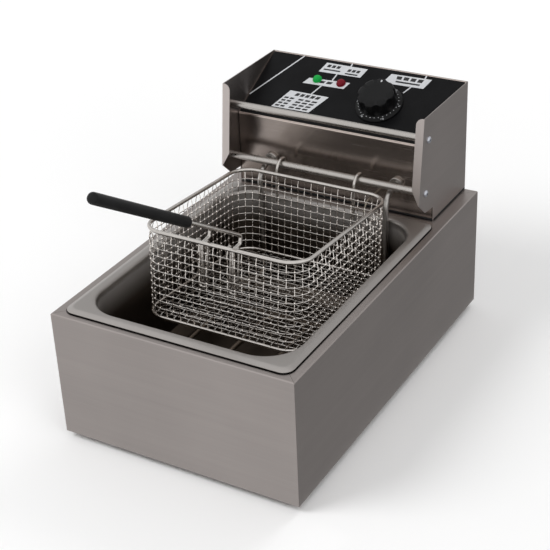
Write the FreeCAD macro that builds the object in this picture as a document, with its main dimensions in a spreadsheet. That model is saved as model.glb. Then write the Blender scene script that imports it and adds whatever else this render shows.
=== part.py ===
import FreeCAD
import Part
import math
import operator
import os
import Sketcher
from types import SimpleNamespace
from FreeCAD import Placement, Rotation, Vector

# Counter-top electric deep fryer: a folded cabinet with one oil tank, a control head that lifts off
# with its heating element, and a wire basket that hangs by two hooks on a rod of the head.
# Millimetres, +Z up, front towards -Y, origin on the floor under the middle of the whole footprint,
# which the handle carries out in front of the cabinet.

SIZES = {
    # cabinet
    "cabinet_width": 285,
    "cabinet_depth": 443,
    "cabinet_height": 147,
    "depth_shift": 30.8,
    "sheet": 1.0,
    "cabinet_bend": 1.6,
    "foot_height": 8,
    "foot_radius": 9,
    "foot_inset": 30,
    # oil tank
    "tank_front_gap": 7.5,
    "tank_opening_width": 238,
    "tank_opening_length": 307,
    "tank_flange": 13.5,
    "tank_flange_corner": 12,
    "tank_corner": 40,
    "tank_depth": 128,
    "tank_floor_slant": 14,
    "tank_mouth_radius": 4.0,
    "tank_rise": 4.0,
    "tank_lip_width": 6.0,
    "tank_lip_gap": 1.3,
    "seat_gap": 0.3,
    "tank_cutout_gap": 2.0,
    # control head
    "head_inset": 16.5,
    "head_height": 134,
    "head_base_depth": 91,
    "head_top_depth": 118.5,
    "head_nose_depth": 130.5,
    "head_nose_height": 36,
    "head_chin_depth": 113.5,
    "head_chin_height": 20,
    "head_chin_radius": 9,
    "head_foot_height": 18,
    "head_flange": 9.5,
    "head_flange_cut": 16,
    "head_flange_corner": 8,
    "head_panel_depth": 90.5,
    "head_fold_height": 88,
    "head_fold_radius": 3,
    "label_slope": 27,
    "label_thickness": 0.8,
    "label_margin": 1.5,
    # rods and screws of the head
    "rod_radius": 4.2,
    "hanging_rod_depth": 113,
    "hanging_rod_height": 44,
    "guard_rod_depth": 107,
    "guard_rod_height": 106,
    "screw_head_radius": 4.0,
    "screw_head_height": 2.4,
    "screw_shank_radius": 1.9,
    "screw_length": 9,
    "hole_clearance": 0.1,
    # lamps, knob and thermostat
    "lamp_radius": 5.6,
    "lamp_dome": 5.0,
    "lamp_body_radius": 4.6,
    "lamp_body_length": 16,
    "lamp_climb": 67,
    "green_lamp_place": -50,
    "red_lamp_place": -19,
    "knob_place": 39,
    "knob_climb": 46.5,
    "knob_skirt_radius": 27.5,
    "knob_skirt_height": 4,
    "knob_grip_radius": 22.5,
    "knob_height": 20,
    "knob_flutes": 14,
    "knob_flute_radius": 3.6,
    "knob_flute_offset": 2.16,
    "knob_flare": 1.0,
    "knob_chamfer": 1.5,
    "knob_roof": 5,
    "knob_lift": 0.6,
    "shaft_radius": 3.0,
    "shaft_clearance": 0.05,
    "thermostat_side": 34,
    "thermostat_height": 20,
    # heating element and temperature sensor
    "element_radius": 3.25,
    "element_spacing": 162,
    "element_leg_depth": 120,
    "element_outlet_height": 36.5,
    "element_bend": 13,
    "element_floor_gap": 22,
    "element_reach": 290,
    "element_return": 85,
    "element_tail": 24,
    "element_nut_radius": 8.5,
    "element_nut_height": 4,
    "brace_width": 9,
    "brace_thickness": 1.0,
    "brace_first": 87,
    "brace_second": 217.5,
    "bulb_radius": 3.0,
    "bulb_length": 90,
    "bulb_overhang": 67.5,
    "capillary_radius": 1.1,
    # basket
    "basket_width": 192,
    "basket_length": 205,
    "basket_height": 99.5,
    "basket_corner": 25,
    "basket_place": -6,
    "basket_wall_depth": 127.8,
    "basket_rim_height": 37.4,
    "basket_tilt": 4.9,
    "rim_radius": 2.25,
    "bottom_ring_radius": 1.75,
    "mesh_wire": 1.1,
    "mesh_pitch_along": 8.7,
    "mesh_pitch_up": 8.65,
    "mesh_gap": 0.06,
    "hook_spacing": 99,
    "hook_wire_radius": 1.8,
    "hook_bow_radius": 10.8,
    "hook_drop": 36,
    "hook_seat_gap": 0.35,
    # basket handle
    "handle_place": -3,
    "handle_wire_radius": 2.0,
    "handle_leg_spacing": 37,
    "handle_slope": 27.8,
    "handle_grip_length": 170,
    "handle_grip_radius": 5.8,
    "handle_grip_lead": 1.0,
    "handle_grip_dome": 4.0,
    "handle_grip_taper": 3.0,
    "handle_neck": 79,
    "handle_wire_gap": 0.8,
    "handle_bend": 3.4,
    "handle_inset": 20.5,
    "handle_shoulder_height": 8,
    "handle_shoulder_drop": 8.5,
    "handle_leg_length": 50,
    "socket_wire_radius": 1.5,
    "socket_spacing": 9.5,
    "socket_bend": 2.4,
    "socket_clearance": 0.4,
    # services inside the head
    "terminal_length": 60,
    "terminal_depth": 20,
    "terminal_height": 18,
    "gland_radius": 10,
    "gland_neck_radius": 7.5,
    "gland_neck_length": 7,
    "gland_length": 17,
    "gland_bore": 4,
    "gland_place": -70,
    "gland_height": 34,
}

doc = FreeCAD.newDocument("deep_fryer")
sheet = doc.addObject("Spreadsheet::Sheet", "sizes")
for row, (alias, value) in enumerate(SIZES.items(), start=1):
    sheet.set(f"A{row}", alias)
    sheet.set(f"B{row}", str(value))
    sheet.setAlias(f"B{row}", alias)
doc.recompute()

OPERATIONS = {"+": operator.add, "-": operator.sub, "*": operator.mul, "/": operator.truediv}


class Size:
    """A size held as a number and as the cell expression that it comes from."""

    def __init__(self, text, number):
        self.text = text
        self.number = number

    def __add__(self, other):
        return combine(self, "+", other)

    def __radd__(self, other):
        return combine(other, "+", self)

    def __sub__(self, other):
        return combine(self, "-", other)

    def __rsub__(self, other):
        return combine(other, "-", self)

    def __mul__(self, other):
        return combine(self, "*", other)

    def __rmul__(self, other):
        return combine(other, "*", self)

    def __truediv__(self, other):
        return combine(self, "/", other)

    def __neg__(self):
        return combine(0, "-", self)

    def __float__(self):
        return float(self.number)


def as_size(value):
    return value if isinstance(value, Size) else Size(str(value), float(value))


def combine(left, sign, right):
    left, right = as_size(left), as_size(right)
    return Size(f"({left.text} {sign} {right.text})", OPERATIONS[sign](left.number, right.number))


def trig(name, angle):
    """The sine, cosine or tangent of an angle in degrees."""
    return Size(f"{name}({angle.text})", getattr(math, name)(math.radians(angle.number)))


d = SimpleNamespace(**{alias: Size(f"sizes.{alias}", float(sheet.get(alias))) for alias in SIZES})
v = SimpleNamespace(**{alias: float(sheet.get(alias)) for alias in SIZES})

nodes = []


def keep(feature, label):
    """Name a finished sub-part and list it for writing."""
    feature.Label = label
    nodes.append(feature)
    return feature


def bind(feature, path, value):
    feature.setExpression(path, as_size(value).text)


def place(feature, x, y, z, axis=None, angle=0):
    if axis:
        feature.Placement = Placement(Vector(), Rotation(axis, float(angle)))
    for letter, value in zip("xyz", (x, y, z)):
        bind(feature, f"Placement.Base.{letter}", value)


ALONG_X = (Vector(0, 1, 0), 90)
ALONG_Y = (Vector(1, 0, 0), -90)
X_AXIS = Vector(1, 0, 0)
Z_AXIS = Vector(0, 0, 1)
WIRE_SIDES = 6
SOCKET_SIDES = 4
SCREW_SIDES = 12
CORNER_STRETCHES = 3


# Part primitives and booleans


def block(name, x, y, z):
    """A box between two values on each axis."""
    piece = doc.addObject("Part::Box", name)
    bind(piece, "Length", x[1] - x[0])
    bind(piece, "Width", y[1] - y[0])
    bind(piece, "Height", z[1] - z[0])
    place(piece, x[0], y[0], z[0])
    return piece


def cylinder(name, radius, length, start, turn=(None, 0)):
    piece = doc.addObject("Part::Cylinder", name)
    bind(piece, "Radius", radius)
    bind(piece, "Height", length)
    place(piece, *start, *turn)
    return piece


def prism(name, sides, radius, length, start, turn=(None, 0)):
    """A bar of several flat sides within a round section."""
    piece = doc.addObject("Part::Prism", name)
    piece.Polygon = sides
    bind(piece, "Circumradius", radius)
    bind(piece, "Height", length)
    place(piece, *start, *turn)
    return piece


def fuse(name, *pieces):
    joined = doc.addObject("Part::MultiFuse", name)
    joined.Shapes = list(pieces)
    return joined


def cut(name, base, *tools):
    result = doc.addObject("Part::Cut", name)
    result.Base = base
    result.Tool = tools[0] if len(tools) == 1 else fuse(f"{name}_tools", *tools)
    return result


# PartDesign bodies and their sketches


def new_body(name):
    return doc.addObject("PartDesign::Body", name)


def new_sketch(body, name, role, offset=0):
    """A sketch on one of the body's own origin planes, moved along the plane's normal."""
    drawing = body.newObject("Sketcher::SketchObject", name)
    plane = next(f for f in body.Origin.OriginFeatures if f.Role == role)
    drawing.AttachmentSupport = [(plane, "")]
    drawing.MapMode = "FlatFace"
    bind(drawing, "AttachmentOffset.Base.z", offset)
    return drawing


def fix_point(drawing, geometry, vertex, point):
    for kind, value in zip(("DistanceX", "DistanceY"), point):
        rule = Sketcher.Constraint(kind, -1, 1, geometry, vertex, float(value))
        index = drawing.addConstraint(rule)
        bind(drawing, f"Constraints[{index}]", value)


def outline(drawing, points):
    """A closed outline of straight sides whose corners are bound to the sizes."""
    corners = [Vector(float(a), float(b), 0) for a, b in points]
    count = len(corners)
    for index, corner in enumerate(corners):
        drawing.addGeometry(Part.LineSegment(corner, corners[(index + 1) % count]))
    for index in range(count):
        drawing.addConstraint(Sketcher.Constraint("Coincident", index, 2, (index + 1) % count, 1))
    for index, point in enumerate(points):
        fix_point(drawing, index, 1, point)


def rounded_rectangle(drawing, x, y, radius):
    """A rectangle between two values on each axis, with tangent arcs at its corners."""
    (left, right), (low, high) = [[float(value) for value in pair] for pair in (x, y)]
    r = float(radius)
    first = drawing.GeometryCount
    sides = [
        ((left + r, low), (right - r, low), (right - r, low + r)),
        ((right, low + r), (right, high - r), (right - r, high - r)),
        ((right - r, high), (left + r, high), (left + r, high - r)),
        ((left, high - r), (left, low + r), (left + r, low + r)),
    ]
    for number, (start, end, centre) in enumerate(sides):
        drawing.addGeometry(Part.LineSegment(Vector(*start, 0), Vector(*end, 0)))
        circle = Part.Circle(Vector(*centre, 0), Z_AXIS, r)
        quarter = math.pi / 2
        drawing.addGeometry(Part.ArcOfCircle(circle, (number - 1) * quarter, number * quarter))
    for number in range(4):
        line, arc, following = [first + (2 * number + step) % 8 for step in range(3)]
        drawing.addConstraint(Sketcher.Constraint("Tangent", line, 2, arc, 1))
        drawing.addConstraint(Sketcher.Constraint("Tangent", arc, 2, following, 1))
        drawing.addConstraint(Sketcher.Constraint("Vertical" if number % 2 else "Horizontal", line))
    for arc in (3, 5, 7):
        drawing.addConstraint(Sketcher.Constraint("Equal", first + 1, first + arc))
    rules = [
        (Sketcher.Constraint("Radius", first + 1, r), radius),
        (Sketcher.Constraint("DistanceY", -1, 1, first, 1, low), y[0]),
        (Sketcher.Constraint("DistanceX", -1, 1, first + 2, 1, right), x[1]),
        (Sketcher.Constraint("DistanceY", -1, 1, first + 4, 1, high), y[1]),
        (Sketcher.Constraint("DistanceX", -1, 1, first + 6, 1, left), x[0]),
    ]
    for rule, value in rules:
        index = drawing.addConstraint(rule)
        bind(drawing, f"Constraints[{index}]", value)


def extrude(body, kind, name, drawing, length, reverse=False):
    """A Pad or a Pocket of one sketch."""
    feature = body.newObject(f"PartDesign::{kind}", name)
    feature.Profile = drawing
    bind(feature, "Length", length)
    feature.Reversed = reverse
    drawing.Visibility = False
    doc.recompute()
    return feature


def loft(body, kind, name, first, second):
    feature = body.newObject(f"PartDesign::{kind}Loft", name)
    feature.Profile = first
    feature.Sections = [second]
    feature.Ruled = True
    doc.recompute()
    return feature


def dress_edges(body, kind, name, base, chosen, size):
    """Fillet or chamfer the edges of a feature for which chosen(edge) is true."""
    edges = [f"Edge{i}" for i, edge in enumerate(base.Shape.Edges, start=1) if chosen(edge)]
    feature = body.newObject(f"PartDesign::{kind}", name)
    feature.Base = (base, edges)
    bind(feature, "Radius" if kind == "Fillet" else "Size", size)
    doc.recompute()
    return feature


def round_edges(body, name, base, chosen, radius):
    return dress_edges(body, "Fillet", name, base, chosen, radius)


def turned(name, profile):
    """A body of revolution about its own Z axis, from points of radius and height."""
    body = new_body(name)
    drawing = new_sketch(body, f"{name}_profile", "XZ_Plane")
    outline(drawing, profile)
    feature = body.newObject("PartDesign::Revolution", f"{name}_turn")
    feature.Profile = drawing
    feature.ReferenceAxis = (drawing, ["V_Axis"])
    feature.Angle = 360
    doc.recompute()
    return body


def near(value, target, tolerance=0.01):
    return abs(value - float(target)) < tolerance


def level_edge(height, reach):
    """A test for edges that lie at one height and within a reach of the middle plane."""

    def fits(edge):
        box = edge.BoundBox
        return near(box.ZMin, height) and near(box.ZMax, height) and max(box.XMax, -box.XMin) < reach + 0.01

    return fits


def cross_edge(y, z):
    """A test for edges that run across the fryer at one place in its section."""

    def fits(edge):
        return along(edge, X_AXIS) and near(edge.BoundBox.YMin, y) and near(edge.BoundBox.ZMin, z)

    return fits


def along(edge, axis):
    """Whether a straight edge runs along an axis."""
    if not isinstance(edge.Curve, Part.Line):
        return False
    return abs(abs(edge.Curve.Direction.dot(axis)) - 1) < 1e-6


# shapes that only Part's own functions give: bent wires and groups of like solids


def feature_of(label, shapes, position=None):
    """A sub-part made of one solid or of several like ones."""
    feature = doc.addObject("Part::Feature", label)
    feature.Shape = shapes[0] if len(shapes) == 1 else Part.makeCompound(shapes)
    feature.Placement = position or Placement()
    return keep(feature, label)


def bent_path(points, radius):
    """Straight runs joined by tangent arcs of one bend radius."""
    edges = []
    start = points[0]
    for before, corner, after in zip(points, points[1:], points[2:]):
        into = (corner - before).normalize()
        away = (after - corner).normalize()
        turn = into.getAngle(away)
        reach = radius * math.tan(turn / 2)
        first, last = corner - into * reach, corner + away * reach
        inward = (away - into).normalize()
        middle = corner + inward * (radius / math.cos(turn / 2) - radius)
        if start.distanceToPoint(first) > 1e-6:
            edges.append(Part.LineSegment(start, first).toShape())
        edges.append(Part.Arc(first, middle, last).toShape())
        start = last
    edges.append(Part.LineSegment(start, points[-1]).toShape())
    return Part.Wire(edges)


def wire_along(path, radius, sides=WIRE_SIDES):
    """A wire along a path, many-sided within its round section so that it has few faces."""
    first = path.OrderedEdges[0]
    begin = first.FirstParameter
    centre, ahead = first.valueAt(begin), first.tangentAt(begin)
    across = ahead.cross(X_AXIS if abs(ahead.x) < 0.5 else Z_AXIS).normalize() * radius
    turns = [Rotation(ahead, 360 / sides * number) for number in range(sides)]
    corners = [centre + turn.multVec(across) for turn in turns]
    section = Part.makePolygon(corners + corners[:1])
    return path.makePipeShell([section], True, False)


def ring_path(half_width, length, corner, height):
    """A rounded rectangle from local y = -length to 0, begun in the middle of its front side."""
    x, back, front = half_width, 0, -length
    corners = [Vector(x, front, height), Vector(x, back, height)]
    corners += [Vector(-x, back, height), Vector(-x, front, height)]
    middle = Vector(0, front, height)
    return bent_path([middle, *corners, middle], corner)


# Reference heights and depths

deck = d.foot_height + d.cabinet_height
back = d.cabinet_depth / 2 + d.depth_shift
front = back - d.cabinet_depth
half_width = d.cabinet_width / 2
tank_front = front + d.tank_front_gap
tank_back = tank_front + d.tank_opening_length + 2 * d.tank_flange
opening_x = (-d.tank_opening_width / 2, d.tank_opening_width / 2)
opening_y = (tank_front + d.tank_flange, tank_back - d.tank_flange)
tank_top = deck + d.tank_rise
tank_floor = tank_top - d.tank_depth
head_half = half_width - d.head_inset
panel_y = back - d.head_panel_depth
fold_z = deck + d.head_fold_height


def grown(pair, amount):
    return (pair[0] - amount, pair[1] + amount)


# Cabinet


def cabinet_shell():
    """Folded box, open below, with an upturned collar round its opening that carries the tank."""
    body = new_body("cabinet_shell")
    outer = new_sketch(body, "cabinet_outline", "XY_Plane", d.foot_height)
    outline(outer, rectangle((-half_width, half_width), (front, back)))
    base = extrude(body, "Pad", "cabinet_pad", outer, d.cabinet_height)
    top = float(deck)
    base = round_edges(body, "cabinet_top_bend", base, lambda e: near(e.BoundBox.ZMin, top), d.cabinet_bend)
    inner = new_sketch(body, "cabinet_inside", "XY_Plane", d.foot_height)
    inside_x = grown((-half_width, half_width), -d.sheet)
    inside_y = grown((front, back), -d.sheet)
    outline(inner, rectangle(inside_x, inside_y))
    extrude(body, "Pocket", "cabinet_hollow", inner, d.cabinet_height - d.sheet, reverse=True)
    mouth = new_sketch(body, "cabinet_mouth", "XY_Plane", deck)
    gap = d.sheet + d.tank_cutout_gap
    rounded_rectangle(mouth, grown(opening_x, gap), grown(opening_y, gap), d.tank_corner + gap)
    extrude(body, "Pocket", "cabinet_opening", mouth, d.sheet * 2)
    collar = new_sketch(body, "cabinet_collar", "XY_Plane", deck - d.sheet / 2)
    for size in (gap + d.sheet, gap):
        rounded_rectangle(collar, grown(opening_x, size), grown(opening_y, size), d.tank_corner + size)
    carried = d.tank_rise - d.sheet - d.seat_gap
    extrude(body, "Pad", "cabinet_upturn", collar, carried + d.sheet / 2)
    keep(body, "cabinet_shell")


def rectangle(x, y):
    return [(x[0], y[0]), (x[1], y[0]), (x[1], y[1]), (x[0], y[1])]


def foot_places():
    x = float(half_width) - v.foot_inset
    rows = (float(front) + v.foot_inset, float(back) - v.foot_inset)
    return [Vector(side * x, y, 0) for side in (-1, 1) for y in rows]


def copies(label, pattern, positions):
    """A group of separate solids, one copy of a turned pattern at each position."""
    shapes = []
    for position in positions:
        spot = position if isinstance(position, Placement) else Placement(position, Rotation())
        solid = pattern.Shape.copy()
        solid.Placement = spot
        shapes.append(solid)
    return feature_of(label, shapes)


def base_and_feet():
    """Bottom plate and the four rubber feet under it."""
    plate = block(
        "bottom_plate",
        grown((-half_width, half_width), -(d.sheet + d.seat_gap)),
        grown((front, back), -(d.sheet + d.seat_gap)),
        (d.foot_height, d.foot_height + d.sheet),
    )
    keep(plate, "base_plate")
    foot = turned("foot_pattern", [
        (0, 0),
        (d.foot_radius, 0),
        (d.foot_radius, d.foot_height),
        (0, d.foot_height),
    ])
    copies("rubber_feet", foot, foot_places())


def oil_tank():
    """Drawn pan: a well with round corners, a flat rim and a sloping lip over the cabinet's flange."""
    body = new_body("oil_tank")
    low = deck + d.tank_lip_gap
    lip_x, lip_y = grown(opening_x, d.tank_flange), grown(opening_y, d.tank_flange)
    flat_corner = d.tank_flange_corner - d.tank_lip_width / 2

    def level(name, height, shrink, corner):
        drawing = new_sketch(body, name, "XY_Plane", height)
        rounded_rectangle(drawing, grown(lip_x, -shrink), grown(lip_y, -shrink), corner)
        return drawing

    bottom = level("lip_edge", low, 0, d.tank_flange_corner)
    top = level("rim_edge", tank_top, d.tank_lip_width, flat_corner)
    loft(body, "Additive", "rim_block", bottom, top)
    under = level("lip_under", low, d.sheet * 1.3, d.tank_flange_corner - d.sheet)
    below = level("rim_under", tank_top - d.sheet, d.tank_lip_width + d.sheet * 0.5, flat_corner - d.sheet)
    loft(body, "Subtractive", "rim_hollow", under, below)
    well = new_sketch(body, "well_outline", "XY_Plane", tank_top - d.sheet / 2)
    wall = d.sheet
    rounded_rectangle(well, grown(opening_x, wall), grown(opening_y, wall), d.tank_corner + wall)
    depth = d.tank_depth + d.sheet / 2
    extrude(body, "Pad", "well_pad", well, depth, reverse=True)
    inside = new_sketch(body, "well_inside", "XY_Plane", tank_top)
    rounded_rectangle(inside, opening_x, opening_y, d.tank_corner)
    base = extrude(body, "Pocket", "well_hollow", inside, d.tank_depth)
    inner_reach = float(opening_x[1])
    outer_reach = inner_reach + v.sheet
    # the outer slant is longer, which keeps the sheet's thickness round the bend
    slant = d.sheet * (1 - trig("tan", as_size(22.5)))
    for kind, name, height, reach, size in (
        ("Chamfer", "well_floor", tank_floor, inner_reach, d.tank_floor_slant),
        ("Chamfer", "well_foot", tank_floor - d.sheet, outer_reach, d.tank_floor_slant + slant),
        ("Fillet", "well_mouth", tank_top, inner_reach, d.tank_mouth_radius),
    ):
        base = dress_edges(body, kind, name, base, level_edge(height, reach), size)
    keep(body, "oil_tank")


# Control head


def head_side(label, side):
    """Side plate with a flange folded inwards along its leaning front edge."""
    body = new_body(f"{label}_blank")
    top = deck + d.head_height
    nose = (back - d.head_nose_depth, deck + d.head_nose_height)
    crown = (back - d.head_top_depth, top)
    chin = (back - d.head_chin_depth, deck + d.head_chin_height)
    foot_y = back - d.head_base_depth
    outer = side * head_half
    plate_x = outer if side < 0 else outer - d.sheet
    plate = new_sketch(body, f"{label}_outline", "YZ_Plane", plate_x)
    outline(plate, [
        (back, deck), (back, top), crown, nose, chin,
        (foot_y, deck + d.head_foot_height), (foot_y, deck),
    ])
    base = extrude(body, "Pad", f"{label}_plate", plate, d.sheet)
    base = round_edges(
        body,
        f"{label}_chin",
        base,
        lambda e: along(e, X_AXIS) and near(e.BoundBox.YMin, chin[0]) and near(e.BoundBox.ZMin, chin[1]),
        d.head_chin_radius,
    )
    flange_x = outer if side < 0 else outer - d.head_flange
    strip = new_sketch(body, f"{label}_strip", "YZ_Plane", flange_x)
    outline(strip, [nose, crown, (crown[0] + d.sheet, crown[1]), (nose[0] + d.sheet, nose[1])])
    base = extrude(body, "Pad", f"{label}_flange", strip, d.head_flange)
    inner_x = outer - side * d.head_flange
    base = round_edges(
        body,
        f"{label}_corner",
        base,
        lambda e: near(e.BoundBox.XMin, inner_x) and near(e.BoundBox.XMax, inner_x)
        and near(e.BoundBox.ZMin, top) and near(e.BoundBox.ZMax, top),
        d.head_flange_corner,
    )
    trim = new_sketch(body, f"{label}_trim", "XZ_Plane")
    outline(trim, [
        (inner_x, nose[1]), (outer - side * d.sheet, nose[1]), (inner_x, nose[1] + d.head_flange_cut),
    ])
    extrude(body, "Pocket", f"{label}_cut", trim, d.cabinet_depth)
    plate_start = outer - side * d.sheet * 2
    turn = (Vector(0, 1, 0), 90 * side)
    holes = [
        cylinder(
            f"{label}_hole_{name}",
            d.screw_shank_radius + d.hole_clearance,
            d.sheet * 4,
            (plate_start, y, z),
            turn,
        )
        for name, y, z in rod_places()
    ]
    keep(cut(label, body, *holes), label)


def rod_places():
    return [
        ("hanging", back - d.hanging_rod_depth, deck + d.hanging_rod_height),
        ("guard", back - d.guard_rod_depth, deck + d.guard_rod_height),
    ]


def rods():
    """Two round rods between the side plates, tapped at both ends for their screws."""
    inside = head_half - d.sheet
    bore = d.screw_shank_radius + d.hole_clearance
    for name, y, z in rod_places():
        bar = cylinder(f"{name}_rod_blank", d.rod_radius, 2 * inside, (-inside, y, z), ALONG_X)
        deep = d.screw_length + d.hole_clearance - d.sheet
        left = prism(f"{name}_rod_left_bore", WIRE_SIDES, bore, deep, (-inside, y, z), ALONG_X)
        right = prism(f"{name}_rod_right_bore", WIRE_SIDES, bore, deep, (inside - deep, y, z), ALONG_X)
        keep(cut(f"{name}_rod_drilled", bar, left, right), f"{name}_rod")


def pan_head_screw(name):
    """A pan-head screw along +Z, its head's seat at the origin and its shank below."""
    head = prism(f"{name}_head", SCREW_SIDES, d.screw_head_radius, d.screw_head_height, (0, 0, 0))
    start = (0, 0, -d.screw_length)
    shank = prism(f"{name}_shank", WIRE_SIDES, d.screw_shank_radius, d.screw_length, start)
    screw = fuse(name, head, shank)
    doc.recompute()
    return screw


def head_screws():
    """Pan-head screws that hold the rods through the side plates."""
    screw = pan_head_screw("screw_pattern")
    side_x = float(head_half)
    spots = []
    for _, y, z in rod_places():
        for side in (-1, 1):
            turn = Rotation(Vector(0, 1, 0), 90 * side)
            spots.append(Placement(Vector(side * side_x, float(y), float(z)), turn))
    copies("rod_screws", screw, spots)


slope_sin = trig("sin", d.label_slope)
slope_cos = trig("cos", d.label_slope)
slope_tan = trig("tan", d.label_slope)


def on_label(climb, lift):
    """Depth and height of a point of the sloped panel, by its way up the slope and its lift off it."""
    y = panel_y + climb * slope_cos - lift * slope_sin
    z = fold_z + climb * slope_sin + lift * slope_cos
    return y, z


def label_cylinder(name, radius, length, x, climb, lift):
    """A cylinder square to the sloped panel."""
    return cylinder(name, radius, length, (x, *on_label(climb, lift)), (X_AXIS, d.label_slope))


def panel_holes(prefix):
    """Holes of the sloped panel for the lamps and the thermostat's shaft."""
    lamp = d.lamp_body_radius + d.hole_clearance
    shaft = d.shaft_radius * 1.7
    drop = -d.terminal_height
    deep = d.terminal_height * 2
    return [
        label_cylinder(f"{prefix}_green_hole", lamp, deep, d.green_lamp_place, d.lamp_climb, drop),
        label_cylinder(f"{prefix}_red_hole", lamp, deep, d.red_lamp_place, d.lamp_climb, drop),
        label_cylinder(f"{prefix}_shaft_hole", shaft, deep, d.knob_place, d.knob_climb, drop),
    ]


def head_panels():
    """Front and sloped top in one folded sheet, the label plate, the back panel and the base."""
    inside = head_half - d.sheet
    rear = back - d.sheet
    rise = (rear - panel_y) * slope_tan
    thick = d.sheet / slope_cos
    body = new_body("front_panel_blank")
    section = new_sketch(body, "front_panel_section", "YZ_Plane", -inside)
    inner_y = panel_y + d.sheet
    outline(section, [
        (panel_y, deck + d.sheet),
        (panel_y, fold_z),
        (rear, fold_z + rise),
        (rear, fold_z + rise - thick),
        (inner_y, fold_z + d.sheet * slope_tan - thick),
        (inner_y, deck + d.sheet),
    ])
    base = extrude(body, "Pad", "front_panel_pad", section, 2 * inside)
    for name, y, z, radius in (
        ("fold_inside", inner_y, fold_z + d.sheet * slope_tan - thick, d.head_fold_radius - d.sheet),
        ("fold_outside", panel_y, fold_z, d.head_fold_radius),
    ):
        base = round_edges(
            body,
            f"front_panel_{name}",
            base,
            cross_edge(y, z),
            radius,
        )
    holes = panel_holes("panel")
    for name, side in (("left", -1), ("right", 1)):
        x = side * d.element_spacing / 2
        z = deck + d.element_outlet_height
        start = (x, panel_y - d.sheet, z)
        radius = d.element_radius + d.hole_clearance
        holes.append(cylinder(f"leg_hole_{name}", radius, d.sheet * 3, start, ALONG_Y))
    start = (capillary_x(), panel_y - d.sheet, capillary_z())
    radius = d.capillary_radius + d.hole_clearance
    holes.append(cylinder("capillary_hole", radius, d.sheet * 3, start, ALONG_Y))
    keep(cut("front_panel_drilled", body, *holes), "head_front_panel")

    plate = new_body("label_blank")
    section = new_sketch(plate, "label_section", "YZ_Plane", d.label_margin - inside)
    low, high = d.head_fold_radius * 1.2, (rear - panel_y) / slope_cos - d.label_margin
    outline(section, [
        on_label(low, 0),
        on_label(high, 0),
        on_label(high, d.label_thickness),
        on_label(low, d.label_thickness),
    ])
    extrude(plate, "Pad", "label_pad", section, 2 * (inside - d.label_margin))
    keep(cut("label_drilled", plate, *panel_holes("label")), "label_plate")

    top = deck + d.head_height
    sheet_back = block("back_panel_sheet", (-inside, inside), (rear, back), (deck, top))
    gland = (d.gland_place, rear - d.sheet, deck + d.gland_height)
    gland_hole = cylinder("gland_hole", d.gland_neck_radius + d.hole_clearance, d.sheet * 3, gland, ALONG_Y)
    keep(cut("back_panel_drilled", sheet_back, gland_hole), "head_back_panel")

    floor = block("head_floor", (-inside, inside), (panel_y, rear), (deck, deck + d.sheet))
    keep(floor, "head_base_plate")


def lamp(label, x):
    """Indicator lamp: a domed lens on the label and its body through the panel."""
    body = turned(label, [
        (0, -d.lamp_body_length),
        (d.lamp_body_radius, -d.lamp_body_length),
        (d.lamp_body_radius, 0),
        (d.lamp_radius, 0),
        (d.lamp_radius, d.lamp_dome / 2),
        (d.lamp_radius / 2, d.lamp_dome),
        (0, d.lamp_dome),
    ])
    place(body, x, *on_label(d.lamp_climb, d.label_thickness), X_AXIS, d.label_slope)
    keep(body, label)


def thermostat():
    """Knob with a flared skirt and fluted grip, its shaft, and the switch body under the panel."""
    knob_foot = d.label_thickness + d.knob_lift
    body = turned("knob_blank", [
        (d.shaft_radius + d.shaft_clearance, 0),
        (d.knob_skirt_radius, 0),
        (d.knob_skirt_radius, d.knob_skirt_height * 0.4),
        (d.knob_grip_radius + d.knob_flare, d.knob_skirt_height),
        (d.knob_grip_radius, d.knob_height - d.knob_chamfer),
        (d.knob_grip_radius - d.knob_chamfer, d.knob_height),
        (0, d.knob_height),
        (0, d.knob_height - d.knob_roof),
        (d.shaft_radius + d.shaft_clearance, d.knob_height - d.knob_roof),
    ])
    flute = new_sketch(body, "flute_circle", "XY_Plane", d.knob_skirt_height)
    flute_place = d.knob_grip_radius + d.knob_flute_offset
    flute.addGeometry(Part.Circle(Vector(float(flute_place), 0, 0), Z_AXIS, v.knob_flute_radius))
    index = flute.addConstraint(Sketcher.Constraint("Radius", 0, v.knob_flute_radius))
    bind(flute, f"Constraints[{index}]", d.knob_flute_radius)
    fix_point(flute, 0, 3, (flute_place, 0))
    groove = extrude(body, "Pocket", "flute", flute, d.knob_height, reverse=True)
    ring = body.newObject("PartDesign::PolarPattern", "flutes")
    ring.Originals = [groove]
    ring.Axis = (flute, ["N_Axis"])
    ring.Angle = 360
    bind(ring, "Occurrences", d.knob_flutes)
    body.Tip = ring
    doc.recompute()
    place(body, d.knob_place, *on_label(d.knob_climb, knob_foot), X_AXIS, d.label_slope)
    keep(body, "thermostat_knob")

    below = d.sheet + d.thermostat_height
    top = knob_foot + d.knob_height - d.knob_roof - d.seat_gap
    sunk = d.thermostat_height / 2
    shaft = label_cylinder(
        "shaft", d.shaft_radius, top + below - sunk, d.knob_place, d.knob_climb, sunk - below
    )
    keep(shaft, "thermostat_shaft")
    case = doc.addObject("Part::Box", "thermostat_case")
    side, height = d.thermostat_side, d.thermostat_height
    for size, length in (("Length", side), ("Width", side), ("Height", height)):
        bind(case, size, length)
    corner = on_label(d.knob_climb - side / 2, -below)
    place(case, d.knob_place - side / 2, *corner, X_AXIS, d.label_slope)
    bore = d.shaft_radius + d.shaft_clearance
    seat_lift = sunk - below - d.seat_gap
    seat = label_cylinder("thermostat_bore", bore, height, d.knob_place, d.knob_climb, seat_lift)
    keep(cut("thermostat_bored", case, seat), "thermostat_body")


# Heating element and temperature sensor


def element_axis():
    return float(tank_floor) + v.element_floor_gap


def capillary_x():
    return d.element_spacing / 3


def capillary_z():
    return deck + d.element_outlet_height - d.element_nut_radius * 2


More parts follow.
